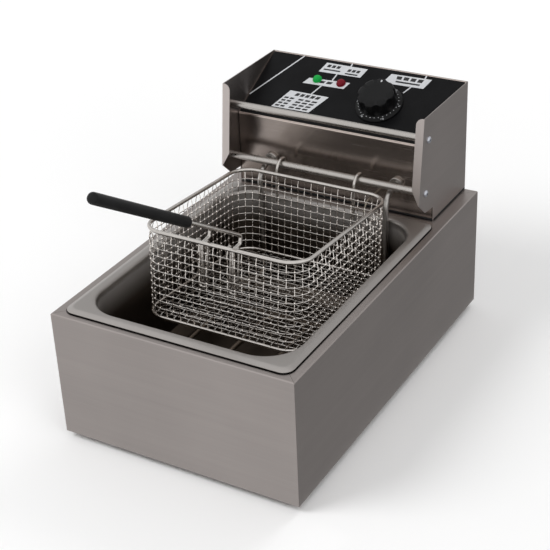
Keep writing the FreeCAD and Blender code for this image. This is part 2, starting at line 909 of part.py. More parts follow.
def heating_element():
    """One bent tube: two legs out of the head, down into the tank, and a W of four runs on its floor."""
    x = v.element_spacing / 2
    step = v.element_spacing / 3
    low = element_axis()
    out_z = float(deck) + v.element_outlet_height
    leg_y = float(back) - v.element_leg_depth
    tail_y = float(panel_y) + v.element_tail
    front_y = leg_y - v.element_reach + v.element_bend
    rear_y = leg_y - v.element_return
    leg = [Vector(-x, tail_y, out_z), Vector(-x, leg_y, out_z), Vector(-x, leg_y, low)]
    runs = [
        Vector(-x, front_y, low), Vector(-x + step, front_y, low),
        Vector(-x + step, rear_y, low), Vector(x - step, rear_y, low),
        Vector(x - step, front_y, low), Vector(x, front_y, low),
    ]
    mirror = [Vector(-p.x, p.y, p.z) for p in reversed(leg)]
    tube = wire_along(bent_path(leg + runs + mirror, v.element_bend), v.element_radius)
    feature_of("heating_element", [tube])

    nut = turned("element_nut_pattern", [
        (d.element_radius + d.hole_clearance, 0),
        (d.element_nut_radius, 0),
        (d.element_nut_radius, d.element_nut_height),
        (d.element_radius + d.hole_clearance, d.element_nut_height),
    ])
    outward = Rotation(Vector(1, 0, 0), 90)
    spots = [Placement(Vector(side * x, float(panel_y), out_z), outward) for side in (-1, 1)]
    copies("element_nuts", nut, spots)

    high = d.element_radius + v.seat_gap / 3
    braces = []
    for y in brace_places():
        brace = Part.makeBox(
            2 * x + v.brace_width, v.brace_width, v.brace_thickness,
            Vector(-x - v.brace_width / 2, y - v.brace_width / 2, low + float(high)),
        )
        braces.append(brace)
    feature_of("element_braces", braces)


def brace_places():
    leg_y = float(back) - v.element_leg_depth
    return [leg_y - v.brace_first, leg_y - v.brace_second]


def thermostat_bulb():
    """Sensor bulb on the element's braces, with its capillary tube up into the head."""
    x = float(capillary_x())
    rest = v.element_radius + v.seat_gap / 3 + v.brace_thickness + v.seat_gap / 3
    z = element_axis() + rest + v.bulb_radius
    begin = brace_places()[0] - v.bulb_overhang
    end = begin + v.bulb_length
    bulb = Part.makeCylinder(v.bulb_radius, v.bulb_length, Vector(x, begin, z), Vector(0, 1, 0))
    leg_y = float(back) - v.element_leg_depth
    up = float(capillary_z())
    path = bent_path([
        Vector(x, end - v.bulb_radius, z), Vector(x, leg_y, z), Vector(x, leg_y, up),
        Vector(x, float(panel_y) + v.element_tail, up),
    ], v.element_bend)
    capillary = wire_along(path, v.capillary_radius, SOCKET_SIDES)
    feature_of("thermostat_bulb", [bulb.fuse(capillary).removeSplitter()])


def head_services():
    """Terminal block on the head's floor and the gland for the mains lead."""
    floor = deck + d.sheet
    middle = back - d.head_base_depth / 2
    strip = block(
        "terminal_strip",
        (-d.terminal_length / 2, d.terminal_length / 2),
        (middle, middle + d.terminal_depth),
        (floor, floor + d.terminal_height),
    )
    keep(strip, "terminal_block")
    body = turned("gland_blank", [
        (d.gland_bore, -d.gland_neck_length),
        (d.gland_neck_radius, -d.gland_neck_length),
        (d.gland_neck_radius, 0),
        (d.gland_radius, 0),
        (d.gland_radius, d.gland_length / 2),
        (d.gland_neck_radius, d.gland_length),
        (d.gland_bore, d.gland_length),
    ])
    place(body, d.gland_place, back, deck + d.gland_height, X_AXIS, -90)
    keep(body, "cable_gland")


# Basket, in its own frame: x across, y = 0 at the rear wall and -length at the front, z = 0 at the rim;
# it hangs with its front tilted up a little


def basket_frame():
    spot = Vector(v.basket_place, float(back) - v.basket_wall_depth, float(deck) + v.basket_rim_height)
    return Placement(spot, Rotation(X_AXIS, -v.basket_tilt))


def spaced(low, high, pitch):
    """Even steps of about one pitch between two values, both ends left out."""
    count = max(2, round((high - low) / pitch))
    step = (high - low) / count
    return [low + step * number for number in range(1, count)]


def basket_rings():
    frame = basket_frame()
    half = v.basket_width / 2
    rim = wire_along(ring_path(half, v.basket_length, v.basket_corner, 0), v.rim_radius)
    feature_of("basket_rim", [rim], frame)
    low = ring_path(half, v.basket_length, v.basket_corner, -v.basket_height)
    feature_of("basket_bottom_ring", [wire_along(low, v.bottom_ring_radius)], frame)


def wall_stations(pitch):
    """Points round the wall's middle line with their outward directions, about one pitch apart."""
    half, length, corner = v.basket_width / 2, v.basket_length, v.basket_corner
    stations = []
    for x in [-half + corner] + spaced(-half + corner, half - corner, pitch) + [half - corner]:
        stations.append((Vector(x, 0, 0), 90))
        stations.append((Vector(x, -length, 0), -90))
    for y in [-length + corner] + spaced(-length + corner, -corner, pitch) + [-corner]:
        stations.append((Vector(half, y, 0), 0))
        stations.append((Vector(-half, y, 0), 180))
    arc = math.pi / 2 * corner
    for x, y, first in corner_centres():
        for turn in spaced(0, arc, pitch):
            angle = first + math.degrees(turn / corner)
            out = Vector(math.cos(math.radians(angle)), math.sin(math.radians(angle)), 0)
            stations.append((Vector(x, y, 0) + out * corner, angle))
    return stations


def corner_centres():
    """Centres of the wall's round corners and the angle at which each quarter begins."""
    x = v.basket_width / 2 - v.basket_corner
    near_y, far_y = -v.basket_corner, v.basket_corner - v.basket_length
    return [(x, near_y, 0), (-x, near_y, 90), (-x, far_y, 180), (x, far_y, 270)]


def basket_walls():
    """Upright wires outside, level wires inside, held between the rim and the bottom ring."""
    frame = basket_frame()
    wire, gap = v.mesh_wire, v.mesh_gap
    high = -v.rim_radius - gap
    low = -v.basket_height + v.bottom_ring_radius + gap
    uprights = []
    for point, angle in wall_stations(v.mesh_pitch_along):
        stick = Part.makeBox(wire, wire, high - low, Vector(gap / 2, -wire / 2, low))
        stick.Placement = Placement(point, Rotation(Z_AXIS, angle))
        uprights.append(stick)
    feature_of("basket_uprights", uprights, frame)

    half, length, corner = v.basket_width / 2, v.basket_length, v.basket_corner
    inner = wire + gap / 2
    rows = []
    for z in spaced(low, high, v.mesh_pitch_up):
        level = z - wire / 2
        across, deep = 2 * (half - corner), length - 2 * corner
        rows.append(Part.makeBox(across, wire, wire, Vector(corner - half, -inner, level)))
        rows.append(Part.makeBox(across, wire, wire, Vector(corner - half, gap / 2 - length, level)))
        rows.append(Part.makeBox(wire, deep, wire, Vector(half - inner, corner - length, level)))
        rows.append(Part.makeBox(wire, deep, wire, Vector(gap / 2 - half, corner - length, level)))
        for x, y, first in corner_centres():
            bend = corner_wire(corner - inner, corner - gap / 2, level, wire)
            bend.Placement = Placement(Vector(x, y, 0), Rotation(Z_AXIS, first))
            rows.append(bend)
    feature_of("basket_rows", rows, frame)


def corner_wire(inside, outside, level, height):
    """A quarter turn of a level wire in short straight stretches."""
    angles = [math.pi / 2 * number / CORNER_STRETCHES for number in range(CORNER_STRETCHES + 1)]
    ends = [(inside, angle) for angle in angles] + [(outside, angle) for angle in reversed(angles)]
    corners = [Vector(r * math.cos(angle), r * math.sin(angle), level) for r, angle in ends]
    return Part.Face(Part.makePolygon(corners + corners[:1])).extrude(Vector(0, 0, height))


def basket_floor():
    """Two layers of floor wires inside the bottom ring."""
    frame = basket_frame()
    wire, gap = v.mesh_wire, v.mesh_gap
    half, length = v.basket_width / 2, v.basket_length
    inset = v.bottom_ring_radius + gap
    corner = v.basket_corner - inset

    def shortening(offset, reach):
        """How far the round corner draws in the end of a wire near the side of the floor."""
        past = abs(offset) + wire / 2 - (reach - corner)
        return 0 if past <= 0 else corner - math.sqrt(max(corner * corner - past * past, 0))

    x_reach, y_reach = half - inset, length / 2 - inset
    floor = -v.basket_height
    wires = []
    for y in spaced(-y_reach, y_reach, v.mesh_pitch_along):
        end = x_reach - shortening(y, y_reach)
        start = Vector(-end, y - length / 2 - wire / 2, floor - wire - gap / 2)
        wires.append(Part.makeBox(2 * end, wire, wire, start))
    for x in spaced(-x_reach, x_reach, v.mesh_pitch_along):
        end = y_reach - shortening(x, x_reach)
        start = Vector(x - wire / 2, -end - length / 2, floor + gap / 2)
        wires.append(Part.makeBox(wire, 2 * end, wire, start))
    feature_of("basket_floor", wires, frame)


def hook_centre():
    """Middle of the hooks' bows behind the rear wall, at the height that rests on the rod."""
    y = v.rim_radius + v.mesh_gap + v.hook_wire_radius + v.hook_bow_radius
    rod = Vector(0, v.basket_wall_depth - v.hanging_rod_depth, v.hanging_rod_height - v.basket_rim_height)
    rod = Rotation(X_AXIS, v.basket_tilt).multVec(rod)
    aside = rod.y - y
    room = v.hook_bow_radius - v.hook_wire_radius - v.rod_radius - v.hook_seat_gap
    return Vector(0, y, rod.z - math.sqrt(room * room - aside * aside))


def basket_hooks():
    """Two wire hooks behind the rear wall, bent over the hanging rod in a half circle."""
    centre = hook_centre()
    bow = v.hook_bow_radius
    hooks = []
    for side in (-1, 1):
        x = side * v.hook_spacing / 2
        foot = Vector(x, centre.y - bow, -v.hook_drop)
        front_top = Vector(x, centre.y - bow, centre.z)
        top = Vector(x, centre.y, centre.z + bow)
        rear_top = Vector(x, centre.y + bow, centre.z)
        path = Part.Wire([
            Part.LineSegment(foot, front_top).toShape(),
            Part.Arc(front_top, top, rear_top).toShape(),
        ])
        hooks.append(wire_along(path, v.hook_wire_radius))
    feature_of("basket_hooks", hooks, basket_frame())


# Basket handle and the two wire sockets that it drops into


def leg_y():
    """Line of the handle's legs, just inside the front rim."""
    return -v.basket_length + v.rim_radius + v.socket_clearance + v.handle_wire_radius


def leg_bottom():
    return -v.handle_leg_length


def handle_wire():
    """One wire from leg to leg: up out of its socket, over an S bend and along the grip and back."""
    shoulder_y = -v.basket_length + v.handle_inset
    slope = math.radians(v.handle_slope)
    climb = Vector(0, -math.cos(slope), math.sin(slope))
    x = v.handle_leg_spacing / 2
    near_x = v.handle_wire_radius + v.handle_wire_gap / 2
    shoulder = Vector(x, shoulder_y, v.handle_shoulder_height)
    under = Vector(x, shoulder_y - v.handle_wire_radius, v.handle_shoulder_height - v.handle_shoulder_drop)
    knee = Vector(x, leg_y(), under.z - v.handle_wire_radius)
    centre_line = Vector(0, shoulder_y, v.handle_shoulder_height)
    neck = centre_line + climb * v.handle_neck + Vector(near_x, 0, 0)
    tip = neck + climb * (v.handle_grip_length - v.handle_grip_radius * 2)
    right = [Vector(x, leg_y(), leg_bottom()), knee, under, shoulder, neck, tip]
    left = [Vector(-p.x, p.y, p.z) for p in reversed(right)]
    ahead = bent_path(right, v.handle_bend).Edges
    behind = bent_path(left, v.handle_bend).Edges
    crest = tip + climb * near_x
    turn = Part.Arc(tip, Vector(0, crest.y, crest.z), left[0]).toShape()
    path = Part.Wire(ahead + [turn] + behind)
    frame = basket_frame() * Placement(Vector(v.handle_place, 0, 0), Rotation())
    feature_of("handle_wire", [wire_along(path, v.handle_wire_radius)], frame)
    handle_grip(frame, neck - Vector(near_x, 0, 0), climb, near_x)


def handle_grip(frame, start, climb, near_x):
    """Rubber sleeve over the two wires, closed and domed at its far end."""
    radius, length = v.handle_grip_radius, v.handle_grip_length
    lead, dome, taper = v.handle_grip_lead, v.handle_grip_dome, v.handle_grip_taper
    points = [
        (0, 0),
        (radius - lead, 0),
        (radius, lead),
        (radius, length - dome),
        (radius - taper, length - dome / 8),
        (0, length),
    ]
    section = Part.makePolygon([Vector(r, 0, z) for r, z in points] + [Vector()])
    sleeve = Part.Face(section).revolve(Vector(), Z_AXIS, 360)
    bore_radius = v.handle_wire_radius + v.hole_clearance
    bore_length = length - radius
    tools = [
        Part.makeCylinder(bore_radius, bore_length, Vector(side * near_x, 0, 0)) for side in (-1, 1)
    ]
    tools.append(Part.makeBox(2 * near_x, 2 * bore_radius, bore_length, Vector(-near_x, -bore_radius, 0)))
    sleeve = sleeve.cut(tools[0].multiFuse(tools[1:]).removeSplitter())
    lean = Placement(start, Rotation(Z_AXIS, climb))
    feature_of("handle_grip", [sleeve], frame * lean)


def handle_sockets():
    """Two U loops on the inside of the front rim: the handle's legs drop between loop and wall."""
    half = v.socket_spacing / 2
    loop_y = leg_y() + v.handle_wire_radius + v.socket_wire_radius + v.socket_clearance
    rim_face = -v.basket_length + v.rim_radius + v.mesh_gap
    floor = leg_bottom() - v.seat_gap - v.socket_wire_radius
    loops = []
    for side in (-1, 1):
        x = v.handle_place + side * v.handle_leg_spacing / 2
        edge = x + half
        right = [Vector(edge, rim_face, 0), Vector(edge, loop_y, 0), Vector(edge, leg_y(), floor)]
        left = [Vector(2 * x - p.x, p.y, p.z) for p in reversed(right)]
        loops.append(wire_along(bent_path(right + left, v.socket_bend), v.socket_wire_radius, SOCKET_SIDES))
    feature_of("handle_sockets", loops, basket_frame())


cabinet_shell()
base_and_feet()
oil_tank()
head_side("head_side_left", -1)
head_side("head_side_right", 1)
head_panels()
rods()
head_screws()
lamp("green_lamp", d.green_lamp_place)
lamp("red_lamp", d.red_lamp_place)
thermostat()
heating_element()
thermostat_bulb()
head_services()
basket_rings()
basket_walls()
basket_floor()
basket_hooks()
handle_wire()
handle_sockets()
doc.recompute()

for feature in doc.Objects:
    if "Invalid" in feature.State or "Error" in feature.State:
        raise RuntimeError(f"{feature.Label} did not compute: {feature.State}")
for feature in nodes:
    if feature.Shape.isNull() or not feature.Shape.isValid():
        raise RuntimeError(f"{feature.Label} has no valid shape")

os.makedirs("parts", exist_ok=True)
for feature in nodes:
    feature.Shape.exportStep(f"parts/{feature.Label}.step")
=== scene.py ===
"""Looks of the counter-top deep fryer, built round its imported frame."""

import math

import bmesh
import bpy
from bpy.props import FloatProperty, FloatVectorProperty, IntProperty, PointerProperty
from mathutils import Matrix, Vector


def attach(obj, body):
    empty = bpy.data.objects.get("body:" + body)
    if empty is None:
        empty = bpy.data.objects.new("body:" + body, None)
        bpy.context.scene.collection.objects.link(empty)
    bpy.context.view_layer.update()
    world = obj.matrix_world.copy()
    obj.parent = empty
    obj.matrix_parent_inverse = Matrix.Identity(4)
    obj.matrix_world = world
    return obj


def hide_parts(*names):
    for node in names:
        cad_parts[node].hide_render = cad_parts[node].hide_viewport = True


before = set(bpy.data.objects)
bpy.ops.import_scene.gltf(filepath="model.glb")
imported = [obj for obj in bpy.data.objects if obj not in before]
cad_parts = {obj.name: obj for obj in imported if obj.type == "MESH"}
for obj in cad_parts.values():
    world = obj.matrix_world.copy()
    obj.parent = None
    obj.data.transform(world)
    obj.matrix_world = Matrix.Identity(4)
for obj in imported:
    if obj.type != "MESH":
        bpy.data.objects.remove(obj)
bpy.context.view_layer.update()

bl_info = {
    "name": "Deep Fryer",
    "version": (1, 0, 0),
    "blender": (4, 5, 0),
    "location": "View3D > Sidebar > Fryer",
    "description": "Dresses a counter-top deep fryer: cabinet, tank, control head, basket and handle",
    "category": "Add Mesh",
}

MM = 0.001

# Places shared by several pieces, in millimetres
CABINET_HALF = 142.5
CABINET_FRONT = -190.7
CABINET_BACK = 252.3
DECK = 155.0
LIP_HALF = 132.5
LIP_FRONT = -183.2
LIP_BACK = 150.8
LIP_CORNER = 12.0
HEAD_HALF = 126.0
PANEL_Y = 161.8
PANEL_JOINT = 123.8
FOLD_Z = 243.0
LABEL_SLOPE = math.radians(27)
LABEL_LIFT = 0.8
BASKET_SPOT = Vector((-6, 124.5, 192.4))
BASKET_TILT = math.radians(-4.9)
BASKET_PLACE = Matrix.Translation(BASKET_SPOT * MM) @ Matrix.Rotation(BASKET_TILT, 4, "X")

# Heights over which the pan and the heating tube grow darker towards the bottom, in millimetres
PAN_DARKEN_TOP = 157.0
PAN_DARKEN_RUN = 100.0
TUBE_DARKEN_FOOT = 70.0
TUBE_DARKEN_RUN = 80.0

# The part of a normal along a direction that makes a face look that way
FACING = 0.7


# Sizes and colours that a user would change


def length(name, description, value):
    return FloatProperty(name=name, description=description, default=value * MM, unit="LENGTH", precision=5)


def colour(name, description, value):
    return FloatVectorProperty(name=name, description=description, default=value, subtype="COLOR", size=3)


class FryerSizes(bpy.types.PropertyGroup):
    """Sizes of the pieces that the scene makes."""

    edge: length("Sheet edge", "Rounding of the folded sheets' edges", 0.35)
    mesh_wire: length("Mesh wire", "Radius of the woven wire", 0.44)
    mesh_crimp: length("Mesh crimp", "How far a crimped wire bends aside at each crossing", 0.9)
    mesh_sway: length("Mesh sway", "How far the nearly straight wires give way to the crimped ones", 0.25)
    # Painted highlight: a bright bead at each crossing stands for the glint on the wires' knuckles.
    mesh_glint: length("Mesh knot", "Radius of the plated knot at each crossing", 1.05)
    mesh_stations: IntProperty(name="Upright wires", description="Wires round the wall", default=88, min=8)
    rim_wire: length("Rim wire", "Radius of the basket's rim", 2.25)
    foot_wire: length("Bottom ring wire", "Radius of the basket's bottom ring", 1.75)
    hook_wire: length("Hook wire", "Radius of the hooks' wire", 1.8)
    handle_wire: length("Handle wire", "Radius of the handle's wire", 2.0)
    socket_wire: length("Socket wire", "Radius of the handle sockets' wire", 1.5)
    element_tube: length("Element tube", "Radius of the heating element", 3.25)
    knob_flutes: IntProperty(name="Knob flutes", description="Hollows round the knob", default=8, min=3)


class FryerColours(bpy.types.PropertyGroup):
    """Colours of the finishes."""

    steel: colour("Sheet steel", "Brushed stainless sheet", (0.385, 0.348, 0.333))
    tank: colour("Tank steel", "Satin drawn pan", (0.40, 0.378, 0.362))
    wire: colour("Wire", "Bright wire of the basket and handle, rods and nuts", (0.60, 0.57, 0.54))
    element: colour("Element", "Heating tube and its braces", (0.48, 0.46, 0.44))
    zinc: colour("Zinc", "Plated screws and the knob's shaft", (0.55, 0.57, 0.62))
    brass: colour("Sensor", "Temperature sensor", (0.43, 0.39, 0.32))
    label: colour("Label", "Black label plate and its dark bars", (0.0045, 0.0045, 0.005))
    print: colour("Print", "White print of the label and the knob", (0.58, 0.59, 0.61))
    knob: colour("Knob", "Black moulded knob", (0.005, 0.0051, 0.0054))
    # The rubber colour also paints the dark strip of shadow under the head.
    rubber: colour("Rubber", "Grip, feet and the head's seal", (0.009, 0.009, 0.0095))
    green: colour("Green lens", "Heating lamp", (0.006, 0.27, 0.045))
    red: colour("Red lens", "Power lamp", (0.13, 0.005, 0.011))
    plastic: colour("Plastic", "Parts inside the head and the gland", (0.05, 0.05, 0.052))


# Shades, points and moves


def grey(shade):
    return (shade, shade, shade, 1.0)


def toned(shade, factor):
    return [part * factor for part in shade]


def opaque(shade, factor=1.0, lift=0.0):
    """A colour with full cover, made lighter or darker by a factor and a lift."""
    return (*[part * factor + lift for part in shade], 1.0)


def mm(x, y, z):
    """A point given in millimetres."""
    return Vector((x, y, z)) * MM


def shift(x, y, z):
    """A move given in millimetres."""
    return Matrix.Translation(mm(x, y, z))


def turned(degrees, axis):
    return Matrix.Rotation(math.radians(degrees), 4, axis)


def rectangle(x_low, y_low, x_high, y_high):
    return [(x_low, y_low), (x_high, y_low), (x_high, y_high), (x_low, y_high)]


def mirrored(points, about=0.0):
    """Points in reverse order on the other side of a plane across X."""
    return [(2 * about - x, y, z) for x, y, z in reversed(points)]


# Node trees written as expressions


def math_step(operation, swapped=False):
    """A method of Link that adds one Math node."""

    def step(self, *others):
        values = (*others, self) if swapped else (self, *others)
        return self.graph.math(operation, *values)

    return step


class Link:
    """A socket whose operators add Math nodes to its tree."""

    def __init__(self, graph, socket):
        self.graph = graph
        self.socket = socket

    def __neg__(self):
        return self * -1.0

    __abs__ = math_step("ABSOLUTE")
    __add__ = math_step("ADD")
    __sub__ = math_step("SUBTRACT")
    __rsub__ = math_step("SUBTRACT", swapped=True)
    __mul__ = math_step("MULTIPLY")
    __truediv__ = math_step("DIVIDE")
    below = math_step("LESS_THAN")
    above = math_step("GREATER_THAN")


class Graph:
    """Adds nodes to a tree and joins them."""

    def __init__(self, tree):
        self.tree = tree
        tree.nodes.clear()

    def add(self, kind, settings=None, values=None):
        node = self.tree.nodes.new(kind)
        for key, value in (settings or {}).items():
            setattr(node, key, value)
        for key, value in (values or {}).items():
            self.feed(node.inputs[key], value)
        return node

    def feed(self, socket, value):
        if isinstance(value, Link):
            self.tree.links.new(value.socket, socket)
        else:
            socket.default_value = value

    def out(self, node, key=0):
        return Link(self, node.outputs[key])

    def made(self, kind, settings=None, values=None):
        """Add a node and give its first output."""
        return self.out(self.add(kind, settings, values))

    def math(self, operation, *values):
        return self.made("ShaderNodeMath", {"operation": operation}, dict(enumerate(values)))

    def combine(self, x=0.0, y=0.0, z=0.0):
        return self.made("ShaderNodeCombineXYZ", values={0: x, 1: y, 2: z})

    def parts(self, vector):
        node = self.add("ShaderNodeSeparateXYZ", values={0: vector})
        return [self.out(node, axis) for axis in range(3)]

    def scaled(self, vector, factor):
        return self.made("ShaderNodeVectorMath", {"operation": "SCALE"}, {0: vector, "Scale": factor})

    def summed(self, first, second):
        return self.made("ShaderNodeVectorMath", {"operation": "ADD"}, {0: first, 1: second})

    def ramp(self, value, *stops):
        """A grey that follows a value through (position, shade) stops."""
        node = self.add("ShaderNodeValToRGB", values={0: value})
        elements = node.color_ramp.elements
        while len(elements) < len(stops):
            elements.new(1.0)
        for element, (position, shade) in zip(elements, stops):
            element.position = position
            element.color = grey(shade)
        return self.out(node)

    def merged(self, first, second):
        """Two geometries as one."""
        node = self.add("GeometryNodeJoinGeometry", values={0: first})
        self.feed(node.inputs[0], second)
        return self.out(node)

    def blend(self, factor, first, second):
        """A colour between two colours."""
        node = self.add("ShaderNodeMix", {"data_type": "RGBA"}, {0: factor, 6: first, 7: second})
        return self.out(node, 2)


class Finish(Graph):
    """A material with one Principled surface, read in the piece's own coordinates."""

    def __init__(self, name, **constants):
        self.material = bpy.data.materials.new(name)
        self.material.use_nodes = True
        super().__init__(self.material.node_tree)
        self.surface = self.add("ShaderNodeBsdfPrincipled")
        for key, value in constants.items():
            self.set(key.replace("_", " "), value)
        self.add("ShaderNodeOutputMaterial", values={"Surface": self.out(self.surface)})
        coordinates = self.add("ShaderNodeTexCoord")
        self.place = self.out(coordinates, "Object")
        self.normal = self.out(coordinates, "Normal")

    def set(self, key, value):
        self.feed(self.surface.inputs[key], value)

    def noise(self, scale, detail, roughness=0.5, stretch=None):
        """Noise over the piece, whose place stretch multiplies."""
        place = self.place
        if stretch:
            place = self.made("ShaderNodeVectorMath", {"operation": "MULTIPLY"}, {0: place, 1: stretch})
        values = {"Vector": place, "Scale": scale, "Detail": detail, "Roughness": roughness}
        return self.made("ShaderNodeTexNoise", values=values)

    def surfaced(self, base, roughness, relief=None, strength=0.0, distance=0.0):
        """Set colour, roughness and fine relief, its distance in millimetres, and give the material."""
        self.set("Base Color", base)
        self.set("Roughness", roughness)
        if relief:
            values = {"Strength": strength, "Distance": distance * MM, "Height": relief}
            self.set("Normal", self.made("ShaderNodeBump", values=values))
        return self.material


# Finishes


def grain_of(finish, across="z", fine=1500.0, slow=14.0):
    """Fine brushing lines: quick across the grain, slow along it."""
    factors = [fine if axis in across else slow for axis in "xyz"]
    return finish.noise(1.0, 3.0, stretch=factors)


def cabinet_seams_and_lip_shadow(finish, level):
    """The seams of the cabinet's top, mitred at its corners, and a painted shadow under the tank's lip."""
    seam_half, seam_run, shade_reach = 0.22, 24, 1.2
    x, y, _ = finish.parts(finish.place)
    side = CABINET_HALF * MM - abs(x)
    front = abs(side - (y - CABINET_FRONT * MM)).below(seam_half * MM)
    rear = abs(side - (CABINET_BACK * MM - y)).below(seam_half * MM)
    seam = finish.math("MAXIMUM", front, rear) * level * side.below(seam_run * MM)
    middle = (LIP_FRONT + LIP_BACK) / 2
    straight_x = LIP_HALF - LIP_CORNER
    straight_y = (LIP_BACK - LIP_FRONT) / 2 - LIP_CORNER
    # Painted shadow: the deck is darkened in a band just outside the tank's lip.
    past_x = finish.math("MAXIMUM", abs(x) - straight_x * MM, 0.0)
    past_y = finish.math("MAXIMUM", abs(y - middle * MM) - straight_y * MM, 0.0)
    beyond = finish.math("SQRT", past_x * past_x + past_y * past_y)
    return finish.math("MAXIMUM", seam, beyond.below((LIP_CORNER + shade_reach) * MM) * level)


def brushed_steel(name, shade, roughness=0.36, seams_and_lip_shadow=False, lift=None, ends=None, fold_highlight=None):
    """Brushed sheet.

    Mitred seams are drawn on the cabinet with a painted shadow under the tank's lip, lift paints light on the
    faces turned to the front, ends paints shade into the gaps at a sheet's ends, and an upturned bend gets a
    painted highlight."""
    finish = Finish(name, Metallic=1.0)
    _, to_back, to_top = finish.parts(finish.normal)
    level = abs(to_top).above(FACING)
    upright = grain_of(finish, "z")
    flat = grain_of(finish, "y")
    grain = upright + level * (flat - upright)
    cloud = finish.noise(7.0, 3.0)
    streak = finish.noise(1.0, 2.0, stretch=(3.0, 3.0, 160.0))
    tone = finish.ramp(grain * 0.22 + streak * 0.2 + cloud * 0.5, (0.3, 0.0), (0.64, 1.0))
    base = finish.blend(tone, opaque(shade, 0.90), opaque(shade, 1.08))
    seam_and_shade_cover = 0.85
    # The real mitre seams, drawn together with the painted shadow under the tank's lip.
    if seams_and_lip_shadow:
        base = finish.blend(cabinet_seams_and_lip_shadow(finish, level) * seam_and_shade_cover, base, opaque(shade, 0.14))
    # Painted highlight: the bend that turns up at the top of the panel is made lighter.
    if fold_highlight:
        base = finish.blend(to_top.above(0.2), base, opaque(shade, fold_highlight))
    # Painted shade: the gaps where the front panel meets the side plates are darkened at its ends.
    if ends:
        joint_shade = abs(finish.parts(finish.place)[0]).above(ends * MM)
        base = finish.blend(joint_shade * seam_and_shade_cover, base, opaque(shade, 0.12))
    # Painted light: the faces turned to the front are made lighter, as where light falls on them.
    if lift:
        base = finish.blend((-to_back).above(FACING), base, opaque(shade, lift))
    rough = grain * 0.14 + cloud * 0.08 + (roughness - 0.11)
    return finish.surfaced(base, rough, grain, strength=0.10, distance=0.03)


def pan_steel(name, shade):
    """Drawn pan: satin rim, darker and browner towards the bottom of the well."""
    finish = Finish(name, Metallic=1.0)
    z = finish.parts(finish.place)[2]
    fall = (PAN_DARKEN_TOP * MM - z) / (PAN_DARKEN_RUN * MM)
    depth = finish.math("MINIMUM", finish.math("MAXIMUM", fall, 0.0), 1.0)
    cloud = finish.noise(16.0, 4.0)
    grain = grain_of(finish, "xy", 700.0, 20.0)
    deep_tone = finish.blend(cloud, opaque((0.12, 0.098, 0.08)), opaque((0.06, 0.048, 0.038)))
    rim = finish.blend(grain * 0.5 + cloud * 0.5, opaque(shade, 0.93), opaque(shade, 1.06))
    base = finish.blend(finish.ramp(depth, (0.06, 0.0), (0.36, 1.0)), rim, deep_tone)
    satin = finish.ramp(depth, (0.04, 0.0), (0.10, 0.28), (0.40, 0.0))
    rough = satin + grain * 0.10 + cloud * 0.12 + 0.30
    return finish.surfaced(base, rough, grain, strength=0.06, distance=0.03)


def bright_wire(name, shade, roughness=0.17, wear=0.15):
    """Plated wire; wear is how much its tone varies."""
    finish = Finish(name, Metallic=1.0)
    marks = finish.noise(260.0, 3.0)
    film = finish.noise(22.0, 2.0)
    tone = finish.ramp(marks * 0.4 + film * 0.6, (0.35, 0.0), (0.68, 1.0))
    base = finish.blend(tone, opaque(shade, 1 - wear), opaque(shade, 1 + wear / 2))
    rough = marks * 0.12 + film * 0.06 + (roughness - 0.08)
    return finish.surfaced(base, rough, marks, strength=0.03, distance=0.02)


def tube_darker_low(name, shade):
    """Tube lighter on the legs, and darker, browner and duller towards the bottom."""
    finish = Finish(name, Metallic=1.0)
    z = finish.parts(finish.place)[2]
    film = finish.noise(18.0, 3.0)
    pits = finish.noise(420.0, 2.0)
    height = (z - TUBE_DARKEN_FOOT * MM) / (TUBE_DARKEN_RUN * MM) + (film - 0.5) * 0.5
    low_tone = finish.blend(film, opaque((0.23, 0.19, 0.15)), opaque((0.13, 0.105, 0.085)))
    high_tone = finish.blend(pits * 0.5, opaque(shade), opaque(shade, 0.7))
    base = finish.blend(finish.ramp(height, (0.0, 0.0), (1.0, 1.0)), low_tone, high_tone)
    rough = pits * 0.16 + film * 0.10 + 0.20
    return finish.surfaced(base, rough, pits, strength=0.10, distance=0.06)


def plated(name, shade):
    """Dull plating under a thin film."""
    finish = Finish(name, Metallic=1.0)
    film = finish.noise(160.0, 2.0)
    grain = finish.noise(900.0, 2.0)
    base = finish.blend(film, opaque(shade, 0.85), opaque(shade, 1.12))
    return finish.surfaced(base, film * 0.16 + grain * 0.10 + 0.18, grain, strength=0.06, distance=0.04)


def moulded(name, shade, roughness, texture, gloss=0.3):
    """Plastic, rubber or painted plate with a fine moulded grain."""
    finish = Finish(name, Specular_IOR_Level=gloss)
    grain = finish.noise(texture, 3.0)
    dust = finish.noise(30.0, 4.0, 0.6)
    tone = finish.ramp(dust * 0.6 + grain * 0.4, (0.40, 0.0), (0.72, 1.0))
    base = finish.blend(tone, opaque(shade), opaque(shade, 1.5, 0.002))
    rough = grain * 0.18 + dust * 0.10 + (roughness - 0.14)
    return finish.surfaced(base, rough, grain, strength=0.16, distance=0.05)


def lens(name, shade):
    """Coloured cap with fine specks and a faint glow of its own."""
    coat = {"Coat_Weight": 0.04, "Coat_Roughness": 0.06}
    finish = Finish(name, Specular_IOR_Level=0.1, Emission_Strength=0.10, **coat)
    finish.set("Emission Color", opaque(shade))
    specks = finish.noise(900.0, 2.0)
    base = finish.blend(specks, opaque(shade, 0.85), opaque(shade, 1.4, 0.004))
    return finish.surfaced(base, specks * 0.12 + 0.16)


def printed(name, shade):
    """Flat print of slightly uneven cover."""
    finish = Finish(name)
    ink = finish.noise(500.0, 2.0)
    return finish.surfaced(finish.blend(ink, opaque(shade, 0.93), opaque(shade, 1.04)), ink * 0.2 + 0.4)


FINISHES = {}


